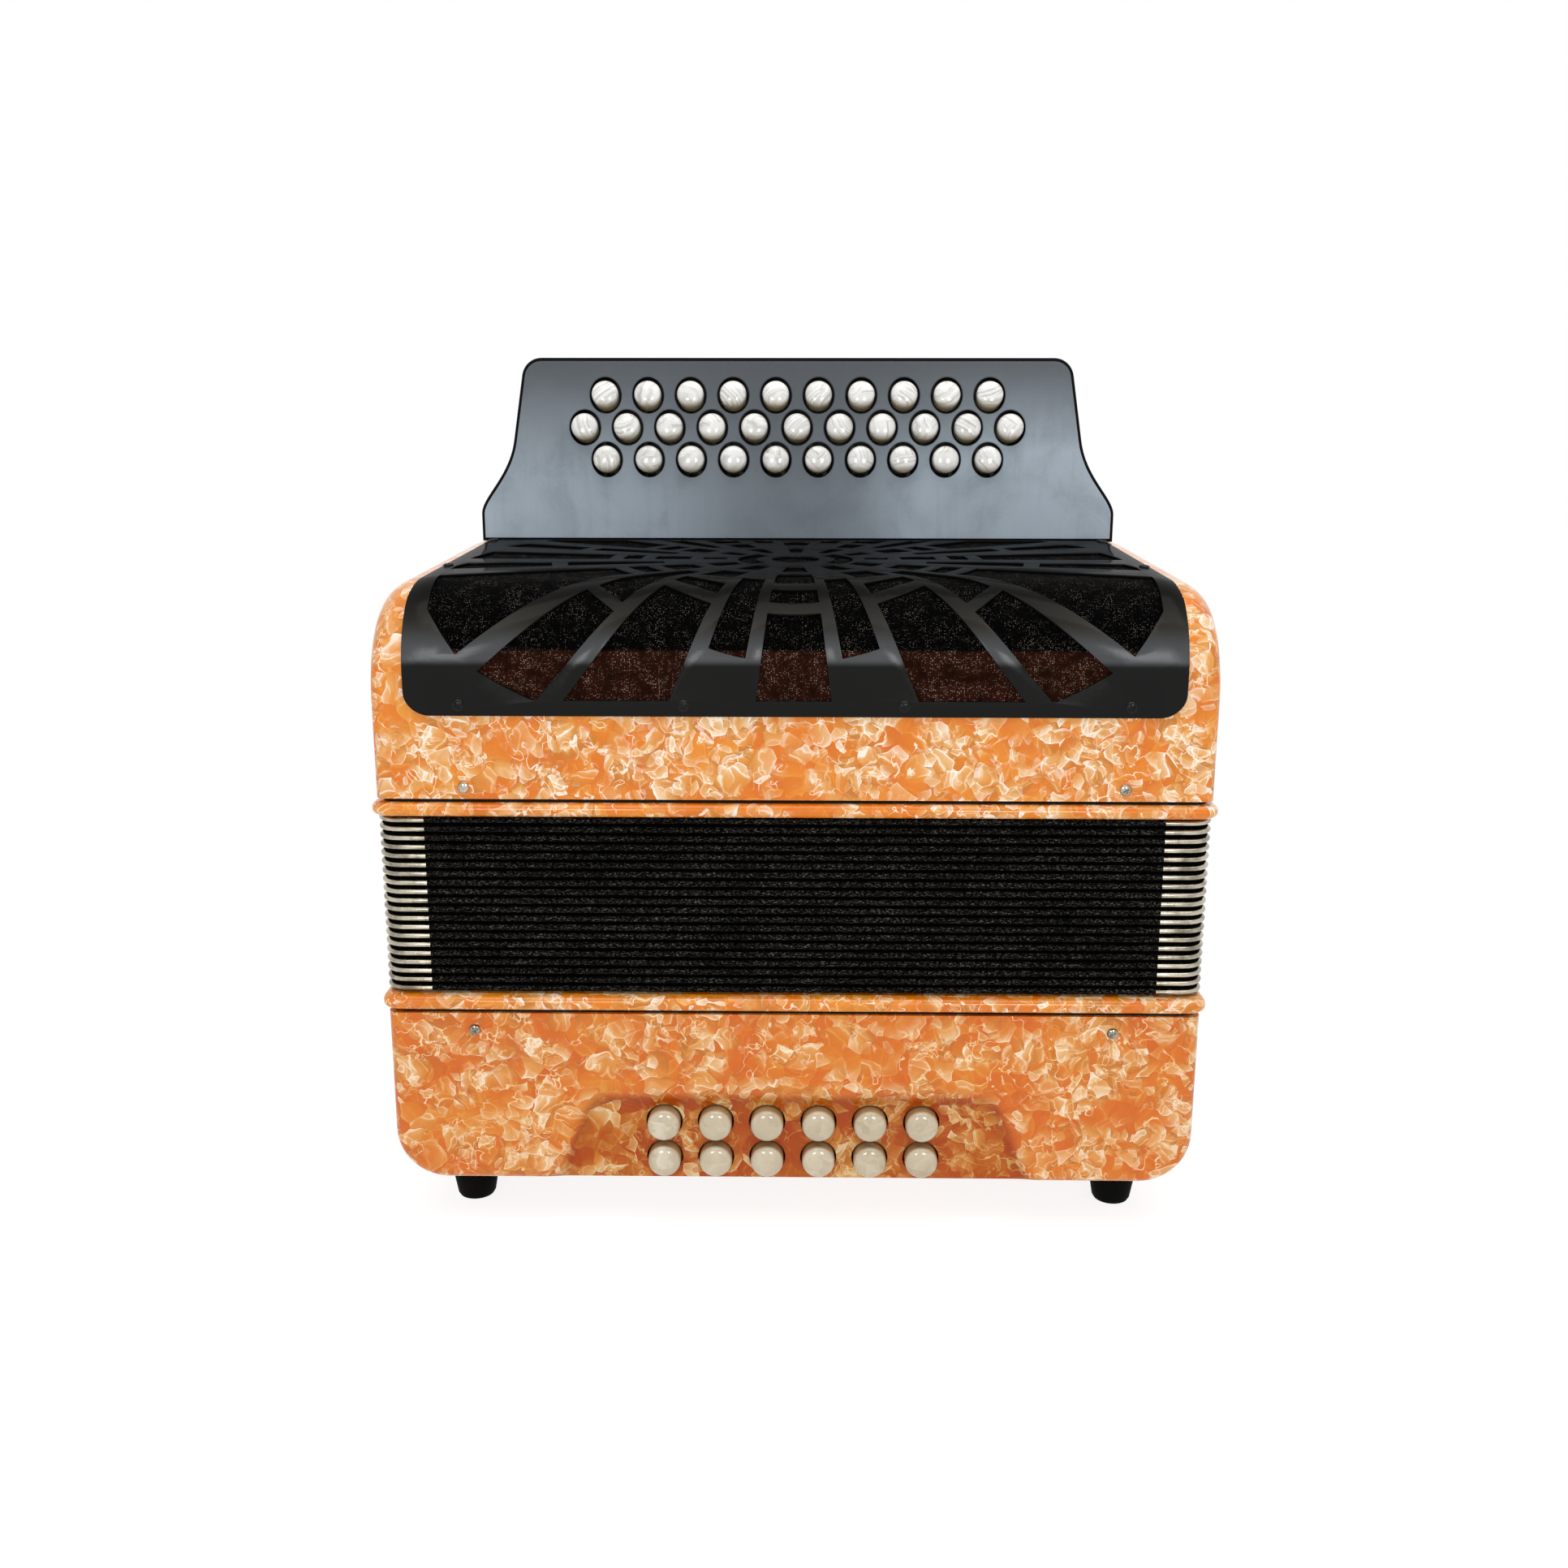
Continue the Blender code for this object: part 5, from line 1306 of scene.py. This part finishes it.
trebleButton = {"radius": 0.00595, "length": 0.0090, "proud": 0.0047, "dome": 0.0019,
                "tilt": {"outer": 17, "middle": 14, "inner": 9}}


def makeTrebleKeys():
    size = trebleButton
    for name, place in treblePlaces().items():
        row = name.split("_")[2]
        low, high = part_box(name)
        front = boardLow.y - size["proud"]
        bm = turnedBody(bmesh.new(), capProfile(size["radius"], size["length"], size["dome"]), (0, 0, 0), "Y", 36)
        bmesh.ops.rotate(bm, matrix=Matrix.Rotation(-math.radians(size["tilt"][row]), 3, "X"), verts=bm.verts,
                         cent=(0, size["proud"], 0))
        bmesh.ops.translate(bm, vec=(place.x, front, place.z), verts=bm.verts)
        pieceFrom(outwards(bm), name.replace("key", "cap"), name, treblePearl, [name], sharp=50)
        mesh = frame["nodes"][name].data.copy()
        bm = bmesh.new()
        bm.from_mesh(mesh)
        bpy.data.meshes.remove(mesh)
        behind = front + size["length"] + 0.0004
        bmesh.ops.remove_doubles(bm, verts=bm.verts, dist=1e-6)
        bmesh.ops.bisect_plane(bm, geom=bm.verts[:] + bm.edges[:] + bm.faces[:], dist=1e-7,
                               plane_co=(0, behind, 0), plane_no=(0, 1, 0), clear_inner=False)
        loose = [f for f in bm.faces if f.calc_center_median().y < behind and f.calc_center_median().z > 0.28]
        bmesh.ops.delete(bm, geom=loose, context="FACES")
        bmesh.ops.dissolve_limit(bm, angle_limit=math.radians(1), verts=bm.verts, edges=bm.edges)
        bmesh.ops.holes_fill(bm, edges=bm.edges, sides=0)
        bmesh.ops.recalc_face_normals(bm, faces=bm.faces)
        pieceFrom(bm, name.replace("key", "lever"), name, dullSteel, sharp=30)


makeTrebleKeys()
print("treble keys made")


# ---- feet and hand strap

strap = {
    "edge": 0.0011,
    "seam": 0.0040,           # in from each long edge
    "pitch": 0.0046,
    "stitch": (0.0034, 0.0010, 0.0007),
    "screwX": 0.1065,
    "screwY": 0.0150,
}


def makeFeet():
    for name in [n for n in frame["nodes"] if n.startswith("foot")]:
        low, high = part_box(name)
        radius = (high.x - low.x) / 2
        tall = high.z - low.z
        profile = [(0, 0), (radius - 0.0036, 0), (radius - 0.0024, 0.0004), (radius - 0.0017, 0.0016),
                   (radius - 0.0006, tall * 0.42), (radius, tall * 0.9), (radius, tall), (0, tall)]
        bm = turnedBody(bmesh.new(), profile, ((low.x + high.x) / 2, (low.y + high.y) / 2, low.z), "Z", 40)
        pieceFrom(outwards(bm), name + "_rubber", "bass", footRubber, [name], sharp=40)


def makeStrap():
    size = strap
    low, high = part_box("bass_strap")
    bm = bmesh.new()
    bm.from_mesh(frame["nodes"]["bass_strap"].data)
    bmesh.ops.remove_doubles(bm, verts=bm.verts, dist=1e-6)
    bmesh.ops.dissolve_limit(bm, angle_limit=math.radians(1), verts=bm.verts, edges=bm.edges)
    under = {}
    for vert in bm.verts:
        x = round(vert.co.x, 5)
        under[x] = min(under.get(x, 1.0), vert.co.z)
    bm.normal_update()
    roundOver(bm, [e for e in bm.edges if e.calc_face_angle(0) > math.radians(60)], size["edge"], 4)
    bmesh.ops.recalc_face_normals(bm, faces=bm.faces)
    pieceFrom(bm, "hand_strap", "bass", strapLeather, ["bass_strap"], sharp=35)

    line = sorted(under.items())
    thread, since = bmesh.new(), size["pitch"]
    for (x0, z0), (x1, z1) in zip(line, line[1:]):
        run = math.hypot(x1 - x0, z1 - z0)
        tilt = Matrix.Rotation(-math.atan2(z1 - z0, x1 - x0), 3, "Y")
        while since < run:
            share = since / run
            for y in (low.y + size["seam"], high.y - size["seam"]):
                made = bmesh.ops.create_icosphere(thread, subdivisions=1, radius=0.5)["verts"]
                bmesh.ops.scale(thread, vec=size["stitch"], verts=made)
                bmesh.ops.rotate(thread, matrix=tilt, verts=made)
                bmesh.ops.translate(thread, vec=(x0 + (x1 - x0) * share, y, z0 + (z1 - z0) * share), verts=made)
            since += size["pitch"]
        since -= run
    pieceFrom(thread, "strap_stitches", "bass", strapThread, sharp=60)
    heads = bmesh.new()
    for x in (-size["screwX"], size["screwX"]):
        for y in (middleY - size["screwY"], middleY + size["screwY"]):
            screwHead(heads, "case", (x, y, line[0][1]), (0, 0, -1))
    pieceFrom(heads, "strap_screws", "bass", screwNickel)


makeFeet()
makeStrap()
print("feet and strap made")


# ---- nodes that stay as they are get their finish

for nodeName, finish in (("treble_soundboard", bareSpruce), ("bass_soundboard", bareSpruce), ("key_axle", drawnSteel)):
    node = frame["nodes"][nodeName]
    node.data.materials.clear()
    node.data.materials.append(finish.material)


# ---- floor, light and camera

studio = {
    "floor": 4.0,
    "ambient": 0.50,
    "left": {"place": (-0.55, -2.10, 0.66), "size": (0.38, 0.50), "power": 6.6, "target": (0, 0, 0.22)},
    "right": {"place": (0.52, -2.10, 0.66), "size": (0.38, 0.50), "power": 7.4, "target": (0, 0, 0.22)},
    "top": {"place": (0.10, -0.35, 1.55), "size": (1.6, 1.1), "power": 12.0, "target": (0, 0, 0.2)},
}


def whiteSurface(tree, shaded, whiteShare, strength):
    # what the camera and reflections see is mostly plain white, so that the floor keeps only a soft shadow
    nodes, links = tree.nodes, tree.links
    path = nodes.new("ShaderNodeLightPath")
    white = nodes.new("ShaderNodeEmission")
    white.inputs["Strength"].default_value = strength
    seen = nodes.new("ShaderNodeMath")
    seen.operation = "MAXIMUM"
    links.new(path.outputs["Is Camera Ray"], seen.inputs[0])
    links.new(path.outputs["Is Glossy Ray"], seen.inputs[1])
    every = nodes.new("ShaderNodeMath")
    every.operation = "MAXIMUM"
    links.new(seen.outputs[0], every.inputs[0])
    links.new(path.outputs["Is Transmission Ray"], every.inputs[1])
    share = nodes.new("ShaderNodeMath")
    share.operation = "MULTIPLY"
    links.new(every.outputs[0], share.inputs[0])
    share.inputs[1].default_value = whiteShare
    mixed = nodes.new("ShaderNodeMixShader")
    links.new(share.outputs[0], mixed.inputs[0])
    links.new(shaded, mixed.inputs[1])
    links.new(white.outputs[0], mixed.inputs[2])
    return mixed.outputs[0]


def makeStudio():
    bm = bmesh.new()
    bmesh.ops.create_grid(bm, x_segments=1, y_segments=1, size=studio["floor"])
    mesh = bpy.data.meshes.new("floor")
    bm.to_mesh(mesh)
    bm.free()
    floor = bpy.data.objects.new("floor", mesh)
    bpy.context.scene.collection.objects.link(floor)
    paper = bpy.data.materials.new("paper")
    paper.use_nodes = True
    shader = paper.node_tree.nodes["Principled BSDF"]
    shader.inputs["Base Color"].default_value = (0.9, 0.9, 0.9, 1)
    shader.inputs["Roughness"].default_value = 0.9
    output = paper.node_tree.nodes["Material Output"]
    paper.node_tree.links.new(whiteSurface(paper.node_tree, shader.outputs[0], 0.70, 1.22), output.inputs["Surface"])
    mesh.materials.append(paper)

    world = bpy.data.worlds.new("studio")
    bpy.context.scene.world = world
    world.use_nodes = True
    back = world.node_tree.nodes["Background"]
    back.inputs["Strength"].default_value = studio["ambient"]
    back.inputs["Color"].default_value = (1, 1, 1, 1)
    output = world.node_tree.nodes["World Output"]
    nodes, links = world.node_tree.nodes, world.node_tree.links
    path = nodes.new("ShaderNodeLightPath")
    white = nodes.new("ShaderNodeBackground")
    white.inputs["Strength"].default_value = 1.0
    white.inputs["Color"].default_value = (1, 1, 1, 1)
    seen = nodes.new("ShaderNodeMath")
    seen.operation = "MAXIMUM"
    links.new(path.outputs["Is Camera Ray"], seen.inputs[0])
    links.new(path.outputs["Is Transmission Ray"], seen.inputs[1])
    every = nodes.new("ShaderNodeMath")
    every.operation = "MAXIMUM"
    links.new(seen.outputs[0], every.inputs[0])
    links.new(path.outputs["Is Glossy Ray"], every.inputs[1])
    mixed = nodes.new("ShaderNodeMixShader")
    links.new(every.outputs[0], mixed.inputs[0])
    links.new(back.outputs[0], mixed.inputs[1])
    links.new(white.outputs[0], mixed.inputs[2])
    links.new(mixed.outputs[0], output.inputs["Surface"])

    for name in ("left", "right", "top"):
        size = studio[name]
        light = bpy.data.lights.new(name, "AREA")
        light.shape = "RECTANGLE"
        light.size, light.size_y = size["size"]
        light.energy = size["power"]
        lamp = bpy.data.objects.new(name, light)
        lamp.location = size["place"]
        aim = Vector(size["target"]) - Vector(size["place"])
        lamp.rotation_euler = aim.to_track_quat("-Z", "Y").to_euler()
        bpy.context.scene.collection.objects.link(lamp)

    lens = bpy.data.cameras.new("camera")
    lens.sensor_width = 36.0
    lens.lens = 36.0 * 1897.23 / 1932
    lens.clip_start = 0.01
    camera = bpy.data.objects.new("camera", lens)
    camera.location = (0.00417, frontY - 0.5511, 0.3082)
    camera.rotation_euler = (math.radians(76.844), math.radians(-0.059), math.radians(0.813))
    bpy.context.scene.collection.objects.link(camera)
    bpy.context.scene.camera = camera
    bpy.context.scene.view_settings.view_transform = "Standard"


makeStudio()
print("studio made")
